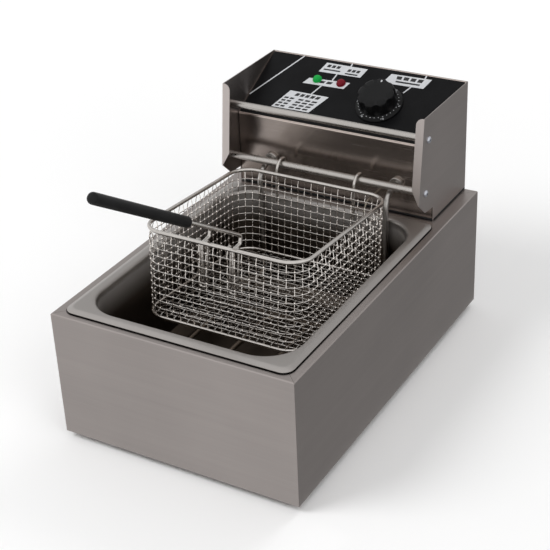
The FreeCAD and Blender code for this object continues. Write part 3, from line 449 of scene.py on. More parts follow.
def finish_for(key):
    """The named finish, made when it is first asked for."""
    tint = bpy.context.scene.fryer_colours
    # The front panel's steel is a darker copy of the sheet: painted shade under the label's overhang.
    panel_shading = (0.92, 0.88, 0.84)
    shaded_panel_steel = [part * factor for part, factor in zip(tint.steel, panel_shading)]
    makers = {
        "cabinet": lambda: brushed_steel("cabinet_steel", tint.steel, seams_and_lip_shadow=True),
        "steel": lambda: brushed_steel("sheet_steel", tint.steel),
        # The head's side flanges get painted light on their front faces.
        "flange": lambda: brushed_steel("flange_steel", tint.steel, lift=1.5),
        "panel": lambda: brushed_steel("panel_steel", shaded_panel_steel, roughness=0.24, ends=PANEL_JOINT, fold_highlight=1.7),
        "tank": lambda: pan_steel("pan_steel", tint.tank),
        "wire": lambda: bright_wire("bright_wire", tint.wire),
        "mesh": lambda: bright_wire("mesh_wire", toned(tint.wire, 0.95), roughness=0.16),
        # A lighter copy of the wire for the uprights and the beads at the crossings: painted light.
        "knot": lambda: bright_wire("knot_plate", toned(tint.wire, 1.6), roughness=0.16, wear=0.06),
        "rod": lambda: bright_wire("ground_rod", toned(tint.wire, 0.8), roughness=0.28, wear=0.06),
        "element": lambda: tube_darker_low("element_tube", tint.element),
        "zinc": lambda: plated("zinc_plate", tint.zinc),
        "brass": lambda: plated("sensor_copper", tint.brass),
        "label": lambda: moulded("label_black", tint.label, roughness=0.34, texture=900.0, gloss=0.07),
        "print": lambda: printed("label_print", tint.print),
        # The dark ink, also used for the painted shade in the screws' sockets.
        "ink": lambda: printed("label_ink", tint.label),
        "knob": lambda: moulded("knob_black", tint.knob, roughness=0.32, texture=700.0, gloss=0.14),
        "grip": lambda: moulded("grip_rubber", tint.rubber, roughness=0.46, texture=520.0, gloss=0.14),
        # The feet's rubber, also used for the strip of painted shadow under the head.
        "foot": lambda: moulded("foot_rubber", tint.rubber, roughness=0.7, texture=400.0),
        "plastic": lambda: moulded("inner_plastic", tint.plastic, roughness=0.5, texture=500.0),
        "green": lambda: lens("lens_green", tint.green),
        "red": lambda: lens("lens_red", tint.red),
    }
    if key not in FINISHES:
        FINISHES[key] = makers[key]()
    return FINISHES[key]


# Pieces


def link_piece(name, data):
    piece = bpy.data.objects.new(name, data)
    bpy.context.scene.collection.objects.link(piece)
    return piece


def settle(piece):
    """Turn a piece with modifiers, or a curve, into one plain mesh."""
    graph = bpy.context.evaluated_depsgraph_get()
    graph.update()
    mesh = bpy.data.meshes.new_from_object(piece.evaluated_get(graph))
    name = piece.name
    bpy.data.objects.remove(piece)
    if not mesh.polygons:
        raise RuntimeError(f"{name} came out empty")
    return link_piece(name, mesh)


def smooth(mesh):
    mesh.polygons.foreach_set("use_smooth", [True] * len(mesh.polygons))


def hand_over(piece, body, nodes=(), finish=None, sharp=None):
    """Give a finished piece its body and finish, and let it stand for its CAD nodes."""
    if finish:
        piece.data.materials.clear()
        piece.data.materials.append(finish_for(finish))
    if sharp is not None:
        smooth(piece.data)
        piece.data.set_sharp_from_angle(angle=math.radians(sharp))
    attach(piece, body)
    if nodes:
        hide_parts(*nodes)


def reshape(source, target, work):
    """Let work change the shape of one mesh, and store the result in another."""
    shape = bmesh.new()
    shape.from_mesh(source)
    work(shape)
    shape.to_mesh(target)
    shape.free()


def flattened(shape):
    """Weld a CAD mesh and take out the edges inside its flat faces."""
    same_spot, flat_angle = 2e-6, math.radians(0.5)
    bmesh.ops.remove_doubles(shape, verts=shape.verts, dist=same_spot)
    bmesh.ops.dissolve_limit(shape, angle_limit=flat_angle, verts=shape.verts, edges=shape.edges)


def folded(node, body, finish, edge=None):
    """A CAD sheet's own shape with its sharp edges slightly rounded."""
    name = f"{node}_sheet"
    mesh = bpy.data.meshes.new(name)
    reshape(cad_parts[node].data, mesh, flattened)
    smooth(mesh)
    piece = link_piece(name, mesh)
    rounding = piece.modifiers.new("edges", "BEVEL")
    rounding.width = edge or bpy.context.scene.fryer_sizes.edge
    rounding.segments = 2
    rounding.limit_method = "ANGLE"
    rounding.angle_limit = math.radians(35)
    level = piece.modifiers.new("flat_faces", "WEIGHTED_NORMAL")
    level.weight = 100
    level.keep_sharp = True
    hand_over(settle(piece), body, (node,), finish)


def mesh_piece(name, points, faces):
    mesh = bpy.data.meshes.new(name)
    mesh.from_pydata([tuple(point) for point in points], [], faces)
    mesh.validate()
    return link_piece(name, mesh)


def joined(name, pieces):
    """Several new pieces as one mesh, keeping their materials."""
    shape = bmesh.new()
    materials = []
    for piece in pieces:
        start = len(shape.faces)
        shape.from_mesh(piece.data)
        shape.faces.ensure_lookup_table()
        for face in shape.faces[start:]:
            own = piece.data.materials[face.material_index] if piece.data.materials else None
            if own not in materials:
                materials.append(own)
            face.material_index = materials.index(own)
        bpy.data.objects.remove(piece)
    mesh = bpy.data.meshes.new(name)
    shape.to_mesh(mesh)
    shape.free()
    for material in materials:
        mesh.materials.append(material)
    return link_piece(name, mesh)


def lathe(name, profile, place, sides=48, reach=None):
    """A turned shape about its own Z axis from (radius, height) points, both in millimetres.

    A profile that ends where it begins leaves an open bore. reach(radius, height, angle) may change the
    radius, as for flutes."""
    points, faces, rows = [], [], []
    bored = profile[0] == profile[-1]
    for radius, height in profile[:-1] if bored else profile:
        if not radius:
            rows.append([len(points)])
            points.append(place @ mm(0, 0, height))
            continue
        row = []
        for number in range(sides):
            angle = 2 * math.pi * number / sides
            r = reach(radius, height, angle) if reach else radius
            row.append(len(points))
            points.append(place @ mm(r * math.cos(angle), r * math.sin(angle), height))
        rows.append(row)
    for low, high in zip(rows, rows[1:] + rows[:bored]):
        for number in range(sides):
            after = (number + 1) % sides
            corners = [low[number % len(low)], low[after % len(low)]]
            corners += [high[after % len(high)], high[number % len(high)]]
            faces.append(list(dict.fromkeys(corners)))
    for row, turn in ((rows[0], -1), (rows[-1], 1)):
        if len(row) > 1 and not bored:
            faces.append(row[::turn])
    return mesh_piece(name, points, faces)


def dome(radius, rise, foot, degrees):
    """Profile points of a rounded end."""
    angles = [math.radians(degree) for degree in degrees]
    return [(radius * math.cos(angle), foot + rise * math.sin(angle)) for angle in angles]


def thin_plates(name, outlines, low, high, place):
    """Thin closed plates; place(x, y, height) turns an outline's corner into a point."""
    points, faces = [], []
    for outline in outlines:
        start, count = len(points), len(outline)
        area = sum(a[0] * b[1] - b[0] * a[1] for a, b in zip(outline, outline[1:] + outline[:1]))
        ordered = outline if area > 0 else outline[::-1]
        for height in (low, high):
            points += [place(x, y, height) for x, y in ordered]
        faces.append(tuple(reversed(range(start, start + count))))
        faces.append(tuple(range(start + count, start + 2 * count)))
        for number in range(count):
            after = (number + 1) % count
            faces.append((start + number, start + after, start + count + after, start + count + number))
    return mesh_piece(name, points, faces)


def rounded_loop(x_half, y_low, y_high, corner, height, steps=12):
    """Points of a level rounded rectangle, in metres."""
    points = []
    for x, y, first in (
        (x_half - corner, y_high - corner, 0),
        (corner - x_half, y_high - corner, 90),
        (corner - x_half, y_low + corner, 180),
        (x_half - corner, y_low + corner, 270),
    ):
        for step in range(steps + 1):
            angle = math.radians(first + 90 * step / steps)
            points.append(mm(x + corner * math.cos(angle), y + corner * math.sin(angle), height))
    return points


# Geometry node trees


def node_tree(name, **labels):
    """An empty tree with geometry in and out and inputs listed by kind, as (graph, links to its inputs)."""
    tree = bpy.data.node_groups.new(name, "GeometryNodeTree")
    for kind, names in {"Geometry": ["Geometry"], **labels}.items():
        for label in names:
            tree.interface.new_socket(label, in_out="INPUT", socket_type=f"NodeSocket{kind}")
    tree.interface.new_socket("Geometry", in_out="OUTPUT", socket_type="NodeSocketGeometry")
    graph = Graph(tree)
    source = graph.add("NodeGroupInput")
    return graph, {socket.name: Link(graph, socket) for socket in source.outputs if socket.name}


def coated(graph, geometry, material):
    """The geometry made real, in its material."""
    solid = graph.made("GeometryNodeRealizeInstances", values={0: geometry})
    return graph.made("GeometryNodeSetMaterial", values={0: solid, "Material": material})


def close_tree(graph, geometry, material, painted=None):
    """End a tree with the geometry in its material and what has its own material already."""
    result = coated(graph, geometry, material)
    if painted:
        result = graph.merged(painted, result)
    graph.add("NodeGroupOutput", values={0: graph.made("GeometryNodeSetShadeSmooth", values={0: result})})
    return graph.tree


def tube_of(graph, curve, given):
    circle = {"Resolution": given["Sides"], "Radius": given["Radius"]}
    profile = graph.made("GeometryNodeCurvePrimitiveCircle", values=circle)
    values = {"Curve": curve, "Profile Curve": profile, "Fill Caps": True}
    return graph.made("GeometryNodeCurveToMesh", values=values)


def filleted(graph, curve, bend, steps):
    values = {"Curve": curve, "Count": steps, "Radius": bend, "Limit Radius": True}
    return graph.made("GeometryNodeFilletCurve", {"mode": "POLY"}, values)


def resampled(graph, curve, count):
    return graph.made("GeometryNodeResampleCurve", values={"Curve": curve, "Count": count})


def moved(graph, geometry, offset):
    return graph.made("GeometryNodeSetPosition", values={0: geometry, "Offset": offset})


def stacked(graph, curve, given):
    """A curve copied once for each level, with the copies' rows and the drop to each."""
    amount = {0: curve, "Amount": given["Levels"]}
    many = graph.add("GeometryNodeDuplicateElements", {"domain": "SPLINE"}, amount)
    row = graph.out(many, "Duplicate Index")
    return graph.out(many), row, graph.combine(z=given["First Level"] - row * given["Pitch"])


def copies(graph, points, pattern, **turns):
    """Copies of a pattern at points, as plain geometry."""
    values = {"Points": points, "Instance": pattern, **turns}
    placed = graph.made("GeometryNodeInstanceOnPoints", values=values)
    return graph.made("GeometryNodeRealizeInstances", values={0: placed})


def bent_wire_tree():
    """Round wire along a line of corners, each bent to one radius."""
    kinds = {"Float": ["Bend", "Radius"], "Int": ["Bend Steps", "Sides"], "Material": ["Material"]}
    graph, given = node_tree("bent_wire", **kinds)
    bent = filleted(graph, given["Geometry"], given["Bend"], given["Bend Steps"])
    return close_tree(graph, tube_of(graph, bent, given), given["Material"])


def woven_wall_tree():
    """Nearly straight level rings, uprights crimped over and under them, and bright beads at the crossings as
    painted highlights.
    """
    graph, given = node_tree(
        "woven_wall",
        Float=["Corner", "First Level", "Pitch", "Top", "Bottom", "Radius", "Crimp", "Sway", "Knot"],
        Int=["Stations", "Levels", "Sides"],
        Material=["Upright Material", "Material"],
    )
    corner_steps, per_station, per_pitch, glint_shape = 16, 4, 6, (1.0, 1.0, 1.3)
    ring = filleted(graph, given["Geometry"], given["Corner"], corner_steps)
    ring = graph.made("GeometryNodeSetCurveNormal", {"mode": "Z_UP"}, {0: ring})
    outward = graph.made("GeometryNodeInputNormal")

    dense = resampled(graph, ring, given["Stations"] * per_station)
    levels, row, drop = stacked(graph, dense, given)
    along = graph.out(graph.add("GeometryNodeSplineParameter"), "Index")
    wave = graph.math("COSINE", (along / per_station + row) * math.pi) * given["Sway"]
    swayed = moved(graph, levels, graph.summed(graph.scaled(outward, wave), drop))
    rows = tube_of(graph, swayed, given)

    ends = {"Start": graph.combine(z=given["Top"]), "End": graph.combine(z=given["Bottom"])}
    line = graph.made("GeometryNodeCurvePrimitiveLine", values=ends)
    line = resampled(graph, line, (given["Levels"] + 1) * per_pitch + 1)
    height = graph.parts(graph.made("GeometryNodeInputPosition"))[2]
    swing = graph.math("COSINE", (given["First Level"] - height) / given["Pitch"] * math.pi)
    aside = swing * abs(swing) * given["Crimp"] * -1.0
    crimped = moved(graph, line, graph.combine(x=aside))
    stations = resampled(graph, ring, given["Stations"])
    odd = graph.math("MODULO", graph.made("GeometryNodeInputIndex"), 2.0)
    axes = {"primary_axis": "Z", "secondary_axis": "X"}
    facing = graph.made("FunctionNodeAxesToRotation", axes, {0: (0.0, 0.0, 1.0), 1: outward})
    flip = graph.combine(1.0 - odd * 2.0, 1.0, 1.0)
    uprights = tube_of(graph, copies(graph, stations, crimped, Rotation=facing, Scale=flip), given)

    crossings, _, drop = stacked(graph, stations, given)
    # Painted highlights: bright beads at the crossings.
    bead = graph.made("GeometryNodeMeshIcoSphere", values={"Radius": given["Knot"], "Subdivisions": 1})
    glints = copies(graph, moved(graph, crossings, drop), bead, Scale=glint_shape)
    # The uprights and the beads take a lighter copy of the wire, as painted light.
    bright = coated(graph, graph.merged(uprights, glints), given["Upright Material"])
    return close_tree(graph, rows, given["Material"], bright)


def woven_floor_tree():
    """Straight wires of a floor, bent over and under each other at their crossings."""
    graph, given = node_tree(
        "woven_floor",
        Float=["Reach X", "Step X", "Reach Y", "Step Y", "Radius", "Crimp", "Sway"],
        Int=["Sides"],
        Material=["Material"],
    )
    per_step = 4
    values = {"Curve": given["Geometry"], "Length": given["Step X"] / per_step}
    dense = graph.made("GeometryNodeResampleCurve", {"mode": "LENGTH"}, values)
    x, y, _ = graph.parts(graph.made("GeometryNodeInputPosition"))
    ahead_x, ahead_y, _ = graph.parts(graph.made("GeometryNodeInputTangent"))
    wave_x = graph.math("COSINE", (x + given["Reach X"]) / given["Step X"] * math.pi)
    wave_y = graph.math("COSINE", (y + given["Reach Y"]) / given["Step Y"] * math.pi)
    over = (ahead_x * ahead_x * given["Sway"] - ahead_y * ahead_y * given["Crimp"]) * wave_x * wave_y
    woven = moved(graph, dense, graph.combine(z=over))
    return close_tree(graph, tube_of(graph, woven, given), given["Material"])


def set_out_tree():
    """Copies of one pattern at points, each facing along the point's own direction."""
    graph, given = node_tree("set_out", Object=["Pattern"], Material=["Material"])
    pattern = graph.add("GeometryNodeObjectInfo", values={"Object": given["Pattern"]})
    settings = {"data_type": "FLOAT_VECTOR"}
    facing = graph.made("GeometryNodeInputNamedAttribute", settings, {"Name": "facing"})
    turn = graph.made("FunctionNodeAlignRotationToVector", {"axis": "Z"}, {"Vector": facing})
    shapes = copies(graph, given["Geometry"], graph.out(pattern, "Geometry"), Rotation=turn)
    return close_tree(graph, shapes, given["Material"])


TREES = {}


def grown_piece(source, maker, **values):
    """Run a node tree on a source object and keep the result as a plain mesh."""
    if maker not in TREES:
        TREES[maker] = maker()
    tree = TREES[maker]
    modifier = source.modifiers.new("nodes", "NODES")
    modifier.node_group = tree
    labels = {label.replace("_", " ").title(): value for label, value in values.items()}
    for item in tree.interface.items_tree:
        if item.in_out == "INPUT" and item.name in labels:
            modifier[item.identifier] = labels.pop(item.name)
    if labels:
        raise RuntimeError(f"{source.name}: the tree has no inputs {sorted(labels)}")
    return settle(source)


def line_piece(name, runs, closed=False):
    """A curve of straight runs through points in millimetres."""
    curve = bpy.data.curves.new(name, "CURVE")
    curve.dimensions = "3D"
    for run in runs:
        spline = curve.splines.new("POLY")
        spline.points.add(len(run) - 1)
        for point, spot in zip(spline.points, run):
            point.co = (*mm(*spot), 1.0)
        spline.use_cyclic_u = closed
    return link_piece(name, curve)


def bent_wire(name, runs, radius, bend, finish, closed=False, steps=8, sides=14):
    """Round wire through corner points in millimetres; radius in metres, bend in millimetres."""
    return grown_piece(
        line_piece(name, runs, closed), bent_wire_tree,
        bend=bend * MM, bend_steps=steps, radius=radius, sides=sides, material=finish_for(finish),
    )


def set_out(name, pattern, spots, finish):
    """Copies of a pattern at (place, direction) pairs in metres; the pattern itself goes."""
    mesh = bpy.data.meshes.new(name)
    mesh.from_pydata([tuple(place) for place, _ in spots], [], [])
    facing = mesh.attributes.new("facing", "FLOAT_VECTOR", "POINT")
    facing.data.foreach_set("vector", [part for _, direction in spots for part in direction])
    piece = grown_piece(link_piece(name, mesh), set_out_tree, pattern=pattern, material=finish_for(finish))
    bpy.data.objects.remove(pattern)
    return piece


# The sloped label's own frame: x across, climb up the slope, lift off it


def on_label(x, climb, lift):
    y = PANEL_Y + climb * math.cos(LABEL_SLOPE) - lift * math.sin(LABEL_SLOPE)
    z = FOLD_Z + climb * math.sin(LABEL_SLOPE) + lift * math.cos(LABEL_SLOPE)
    return mm(x, y, z)


def label_place(x, climb, lift):
    return Matrix.Translation(on_label(x, climb, lift)) @ Matrix.Rotation(LABEL_SLOPE, 4, "X")


# Operators, one for each group of pieces; their bare points are in millimetres


class FryerOperator:
    """What the operators share: each makes its pieces from the scene's sizes."""

    bl_options = {"REGISTER", "UNDO"}

    def execute(self, context):
        self.make(context.scene.fryer_sizes)
        return {"FINISHED"}


class FRYER_OT_cabinet(FryerOperator, bpy.types.Operator):
    """Make the folded cabinet, its bottom plate and its feet"""

    bl_idname = "fryer.cabinet"
    bl_label = "Cabinet"

    FOOT_X, FOOT_INSET = 112.5, 30

    def make(self, sizes):
        folded("cabinet_shell", "cabinet", "cabinet", edge=0.5 * MM)
        folded("base_plate", "cabinet", "steel")
        profile = [(0, 1.2), (4.2, 1.2), (4.6, 0.0), (8.2, 0.0), (8.8, 0.5), (9.0, 1.4)]
        profile += [(8.4, 7.6), (8.0, 8.0), (0, 8.0)]
        pattern = lathe("foot_pattern", profile, Matrix(), 40)
        spots = []
        for x in (-self.FOOT_X, self.FOOT_X):
            for y in (CABINET_FRONT + self.FOOT_INSET, CABINET_BACK - self.FOOT_INSET):
                spots.append((mm(x, y, 0), (0, 0, 1)))
        feet = set_out("feet", pattern, spots, "foot")
        hand_over(feet, "cabinet", ("rubber_feet",), sharp=40)


class FRYER_OT_tank(FryerOperator, bpy.types.Operator):
    """Make the drawn oil tank with its lip, rim and rounded well"""

    bl_idname = "fryer.tank"
    bl_label = "Oil tank"

    def make(self, sizes):
        levels, floor = self.levels()
        points, faces = [], []
        for inset, corner, height in levels:
            points += rounded_loop(LIP_HALF - inset, LIP_FRONT + inset, LIP_BACK - inset, corner, height)
        around = len(points) // len(levels)
        for level in range(len(levels)):
            if level == floor:
                continue
            low, high = level * around, (level + 1) % len(levels) * around
            for number in range(around):
                after = (number + 1) % around
                faces.append((low + number, high + number, high + after, low + after))
        faces.append(tuple(range(floor * around, (floor + 1) * around)))
        faces.append(tuple(reversed(range((floor + 1) * around, (floor + 2) * around))))
        pan = mesh_piece("tank_pan", points, faces)
        reshape(pan.data, pan.data, lambda shape: bmesh.ops.recalc_face_normals(shape, faces=shape.faces))
        hand_over(pan, "cabinet", ("oil_tank",), "tank", sharp=32)

    def levels(self):
        """Loops of the pan as (inset, corner, height), and the number of the floor's upper loop.

        They run from the lip's edge over the rim and down inside to the floor, then up outside."""
        top, bottom, sheet, wall, wall_corner = 159.0, 31.0, 1, 13.5, 40
        rim_bend, floor_bend, draw_in = 4, 14, 0.9
        levels = [(1.0, 11.2, 156.35), (0.0, LIP_CORNER, 156.35), (0.05, LIP_CORNER, 156.75)]
        levels += [(0.35, 11.8, 157.0), (5.0, 9.6, 158.75), (5.8, 9.2, 158.95), (6.8, 9.0, top)]
        levels.append((wall - 4.2, 43.8, top))
        for angle in [math.pi / 2 * step / 6 for step in range(1, 7)]:
            inset = wall - rim_bend + rim_bend * math.sin(angle)
            height = top - rim_bend + rim_bend * math.cos(angle)
            levels.append((inset, wall_corner + wall - inset, height))
        for angle in [math.pi / 2 * step / 8 for step in range(9)]:
            inset = wall + floor_bend - floor_bend * math.cos(angle)
            height = bottom + floor_bend - floor_bend * math.sin(angle)
            levels.append((inset, wall_corner - (inset - wall) * draw_in, height))
        floor = len(levels) - 1
        levels.append((wall + floor_bend, wall_corner - floor_bend * draw_in, bottom - sheet))
        levels.append((wall - sheet, wall_corner + sheet, bottom + floor_bend - sheet))
        levels.append((wall - sheet, wall_corner + sheet, top - 1.8))
        levels.append((7.2, 8.6, top - 0.9))
        return levels, floor


class FRYER_OT_head(FryerOperator, bpy.types.Operator):
    """Make the control head's sheets, a dark strip of painted shadow under it, rods and screws"""

    bl_idname = "fryer.head"
    bl_label = "Control head"

    SHEETS = {
        "head_back_panel": "steel",
        "head_base_plate": "steel",
        "head_side_left": "flange",
        "head_side_right": "flange",
        "head_front_panel": "panel",
    }
    RODS = {"hanging_rod": (139.3, 199.0), "guard_rod": (145.3, 261.0)}

    def make(self, sizes):
        for node, finish in self.SHEETS.items():
            folded(node, "control_head", finish)
        # Painted shadow: a thin dark strip in the feet's rubber round the head's foot stands for the shadow
        # gap under it.
        shadow_strip_line = [(x, y, DECK + 1.15) for x, y in rectangle(-125.7, 161.6, 125.7, 251.9)]
        shadow_strip = bent_wire("head_seal", [shadow_strip_line], 1.1 * MM, 2, "foot", closed=True, steps=3, sides=8)
        hand_over(shadow_strip, "control_head")
        bar = [(0, -125), (3.8, -125), (4.2, -124.6), (4.2, 124.6), (3.8, 125), (0, 125)]
        spots = []
        for node, (y, z) in self.RODS.items():
            rod = lathe(f"{node}_bar", bar, shift(0, y, z) @ turned(90, "Y"), 32)
            hand_over(rod, "control_head", (node,), "rod", sharp=30)
            spots += [(mm(side * HEAD_HALF, y, z), (side, 0, 0)) for side in (-1, 1)]
        self.screws(spots)

    def screws(self, spots):
        cap = [(0, 0), (4.0, 0), (4.0, 0.5), (3.7, 1.3), (2.9, 2.0), (1.7, 2.4), (1.55, 1.3), (0, 1.0)]
        pattern = lathe("screw_pattern", cap, Matrix(), 28, self.recess)
        heads = set_out("rod_screw_heads", pattern, spots, "zinc")
        hand_over(heads, "control_head", ("rod_screws",), sharp=35)
        # Painted shade: dark crosses set deep in the screws' sockets stand for the shadow in the recesses.
        cross = [(0.45, 1.5), (-0.45, 1.5), (-0.45, 0.45), (-1.5, 0.45), (-1.5, -0.45), (-0.45, -0.45)]
        cross += [(-x, -y) for x, y in cross]
        pattern = thin_plates("slot_pattern", [cross], 1.1, 1.4, mm)
        hand_over(set_out("rod_screw_slots", pattern, spots, "ink"), "control_head")

    def recess(self, radius, height, angle):
        """The screw's socket is a cross, drawn in between its four arms."""
        socket_radius, drawn_in = 1.8, 0.45
        if radius > socket_radius or math.cos(4 * angle) > 0:
            return radius
        return radius * drawn_in


class FRYER_OT_label(FryerOperator, bpy.types.Operator):
    """Make the black label plate and its plain white print"""

    bl_idname = "fryer.label"
    bl_label = "Label"

    STROKE, BAR_FILL = 1.7, 0.72

    def make(self, sizes):
        folded("label_plate", "control_head", "label", edge=0.2 * MM)
        border = rectangle(-123.4, 1.9, 123.4, 4.2)
        hem = thin_plates("label_hem", [border], 0.02, LABEL_LIFT, on_label)
        hand_over(hem, "control_head", finish="label")
        upper = [(-49.7, 94.3), (3.8, 94.2), (-0.1, 80.0), (-54.0, 79.2)]
        right = [(39.0, 93.6), (83.0, 94.0), (78.0, 79.6), (41.5, 79.2)]
        table = [(-75.3, 44.5), (-24.5, 44.0), (-38.7, 17.3), (-88.1, 16.7)]
        lamp_bar = [(-61.0, 67.6), (-8.5, 70.0), (-12.6, 59.6), (-66.0, 58.4)]
        pointed = [(34.8, 93.3), (85.0, 94.2), (80.0, 79.3), (40.7, 78.6), (30.8, 83.0)]
        rows = [
            (upper, (0.08, 0.42), (0.16, 0.44), 3),
            (upper, (0.60, 0.92), (0.30, 0.58), 3),
            (upper, (0.06, 0.46), (0.62, 0.76), 1),
            (upper, (0.60, 0.90), (0.74, 0.88), 1),
            (right, (0.08, 0.92), (0.14, 0.48), 4),
            (right, (0.08, 0.86), (0.64, 0.80), 1),
            (table, (0.22, 0.88), (0.08, 0.24), 5),
        ]
        for number in range(4):
            down = (0.36 + number * 0.16, 0.45 + number * 0.16)
            rows += [(table, (0.05, 0.34), down, 2), (table, (0.42, 0.95), down, 3)]
        rows.append((lamp_bar, (0.32, 0.68), (0.24, 0.62), 2))
        dark = [bar for row in rows for bar in self.bars(*row)]
        lines = (
            ((-123.2, 28.6), (-81.9, 98.7)), ((-40.7, 59.4), (-47.8, 44.0)), ((-29.8, 79.9), (-31.6, 68.6)),
            ((-18.1, 98.7), (-18.3, 94.0)), ((76.5, 98.7), (76.3, 93.8)), ((65.3, 79.4), (59.6, 68.6)),
        )
        white = [upper, pointed, table, lamp_bar] + [self.stroke(*line) for line in lines]
        sink = 0.05
        for name, finish, patches, lift in (
            ("label_print", "print", white, 0.03),
            ("label_bars", "ink", dark, 0.06),
        ):
            plates = thin_plates(name, patches, LABEL_LIFT - sink, LABEL_LIFT + lift, on_label)
            hand_over(plates, "control_head", finish=finish)

    def stroke(self, start, end):
        """The corners of a line of print."""
        (ax, ay), (bx, by) = start, end
        across = Vector((ay - by, bx - ax)).normalized() * self.STROKE / 2
        return [
            (ax + across.x, ay + across.y), (ax - across.x, ay - across.y),
            (bx - across.x, by - across.y), (bx + across.x, by + across.y),
        ]

    def bars(self, corners, across, down, count):
        """Plain dark bars where a plate would carry words, at shares of the plate's width and height."""
        a, b, c, e = [Vector(corner) for corner in corners]
        step = (across[1] - across[0]) / count
        fill = self.BAR_FILL if count > 1 else 1.0
        patches = []
        for number in range(count):
            left = across[0] + step * number
            shares = rectangle(left, down[0], left + step * fill, down[1])
            patches.append([tuple(a.lerp(b, x).lerp(e.lerp(c, x), y)) for x, y in shares])
        return patches


class FRYER_OT_lamps(FryerOperator, bpy.types.Operator):
    """Make the two indicator lamps"""

    bl_idname = "fryer.lamps"
    bl_label = "Lamps"

    CLIMB = 67

    def make(self, sizes):
        collar = [(0, -16), (4.6, -16), (4.6, 0), (5.6, 0), (5.6, 1.0), (5.3, 1.5), (5.0, 1.5)]
        profile = collar + dome(5.0, 3.4, 1.6, range(0, 90, 10)) + [(0, 5.0)]
        for hue, x in (("green", -50), ("red", -19)):
            lamp = lathe(f"{hue}_lens", profile, label_place(x, self.CLIMB, LABEL_LIFT), 40)
            hand_over(lamp, "control_head", (f"{hue}_lamp",), hue, sharp=40)


class FRYER_OT_knob(FryerOperator, bpy.types.Operator):
    """Make the fluted thermostat knob with its dots and plain numbers"""

    bl_idname = "fryer.knob"
    bl_label = "Knob"

    GRIP, CROWN = 21.6, 20.0
    FACE, FACE_EDGE, SLOPE = 27.2, 1.7, 0.5

    def make(self, sizes):
        self.flutes = sizes.knob_flutes
        place = label_place(39, 46.5, LABEL_LIFT + 0.6)
        grip = self.GRIP
        profile = [
            (3.05, 0), (27.1, 0), (27.5, 0.4), (27.5, 1.2), (self.FACE, self.FACE_EDGE), (22.8, 3.9),
            (grip + 0.6, 4.3), (grip + 0.5, 5.0), (grip + 0.45, 6.0), (grip + 0.4, 7.0), (grip + 0.35, 8.5),
            (grip, 17.6), (grip - 0.35, 18.8), (grip - 1.0, 19.6), (grip - 2.0, self.CROWN), (12, 19.8),
            (0, 19.6),
        ]
        body = lathe("knob_body", profile, place, self.flutes * 24, self.fluted)
        hand_over(body, "knob", ("thermostat_knob",), "knob", sharp=38)
        marks = self.dots(place) + self.numbers(place)
        hand_over(joined("knob_marks", marks), "knob", finish="print")
        stem = [(0, -11), (2.6, -11), (3.0, -10.6), (3.0, 14.3), (2.7, 14.6), (0, 14.6)]
        shaft = lathe("knob_shaft", stem, place, 24)
        hand_over(shaft, "knob", ("thermostat_shaft",), "zinc", sharp=40)

    def fluted(self, radius, height, angle):
        """Wide hollows for the fingers, from the crown down to a round foot."""
        hollow, depth, foot, run, crown_face = 7.0, 2.2, 5, 3.5, 19
        if radius < crown_face or height < foot:
            return radius
        step = 2 * math.pi / self.flutes
        turn = angle % step - step / 2
        centre = self.GRIP + hollow - depth * min((height - foot) / run, 1)
        aside = centre * math.sin(turn)
        if abs(aside) >= hollow:
            return radius
        return min(radius, centre * math.cos(turn) - math.sqrt(hollow * hollow - aside * aside))

    def skirt_point(self, angle, radius, lift=0.0):
        height = self.FACE_EDGE + (self.FACE - radius) * self.SLOPE + lift
        return mm(radius * math.cos(angle), radius * math.sin(angle), height)

    def dots(self, place):
        """White dots round the skirt and a longer mark on the crown."""
        count, start, step, ring = 25, 113, 12, 23.5
        spots = []
        normal = Vector((self.SLOPE, 0, 1)).normalized()
        for number in range(count):
            angle = math.radians(start - step * number)
            turn = Matrix.Rotation(angle, 3, "Z")
            spots.append((place @ self.skirt_point(angle, ring), place.to_3x3() @ (turn @ normal)))
        dot = lathe("dot_pattern", [(0, -0.1), (0.5, -0.1), (0.5, 0.05), (0, 0.05)], Matrix(), 10)
        pointer = lathe("pointer", [(0, -0.1), (0.9, -0.1), (0.9, 0.08), (0, 0.08)], Matrix(), 20)
        pointer.data.transform(place @ shift(0, 17.5, self.CROWN) @ Matrix.Diagonal((1, 1.8, 1, 1)))
        return [set_out("knob_dots", dot, spots, "print"), pointer]

    def numbers(self, place):
        """Plain temperature numbers on the skirt, read from outside."""
        start, step, ring, lift = 119, 59, 25.6, 0.03
        pieces = []
        for number, value in enumerate(("0", "60", "90", "120", "150", "180")):
            angle = math.radians(start - step * number)
            text = bpy.data.curves.new(f"number_{value}", "FONT")
            text.body = value
            text.size = 2.7 * MM
            text.align_x = "CENTER"
            text.align_y = "CENTER"
            text.extrude = 0.04 * MM
            text.resolution_u = 2
            piece = settle(link_piece(f"number_{value}", text))
            lean = Matrix.Rotation(math.atan(self.SLOPE), 4, "X")
            turn = Matrix.Rotation(angle + math.pi / 2, 4, "Z")
            spot = Matrix.Translation(self.skirt_point(angle, ring, lift))
            piece.data.transform(place @ spot @ turn @ lean)
            piece.data.materials.clear()
            piece.data.materials.append(finish_for("print"))
            pieces.append(piece)
        return pieces


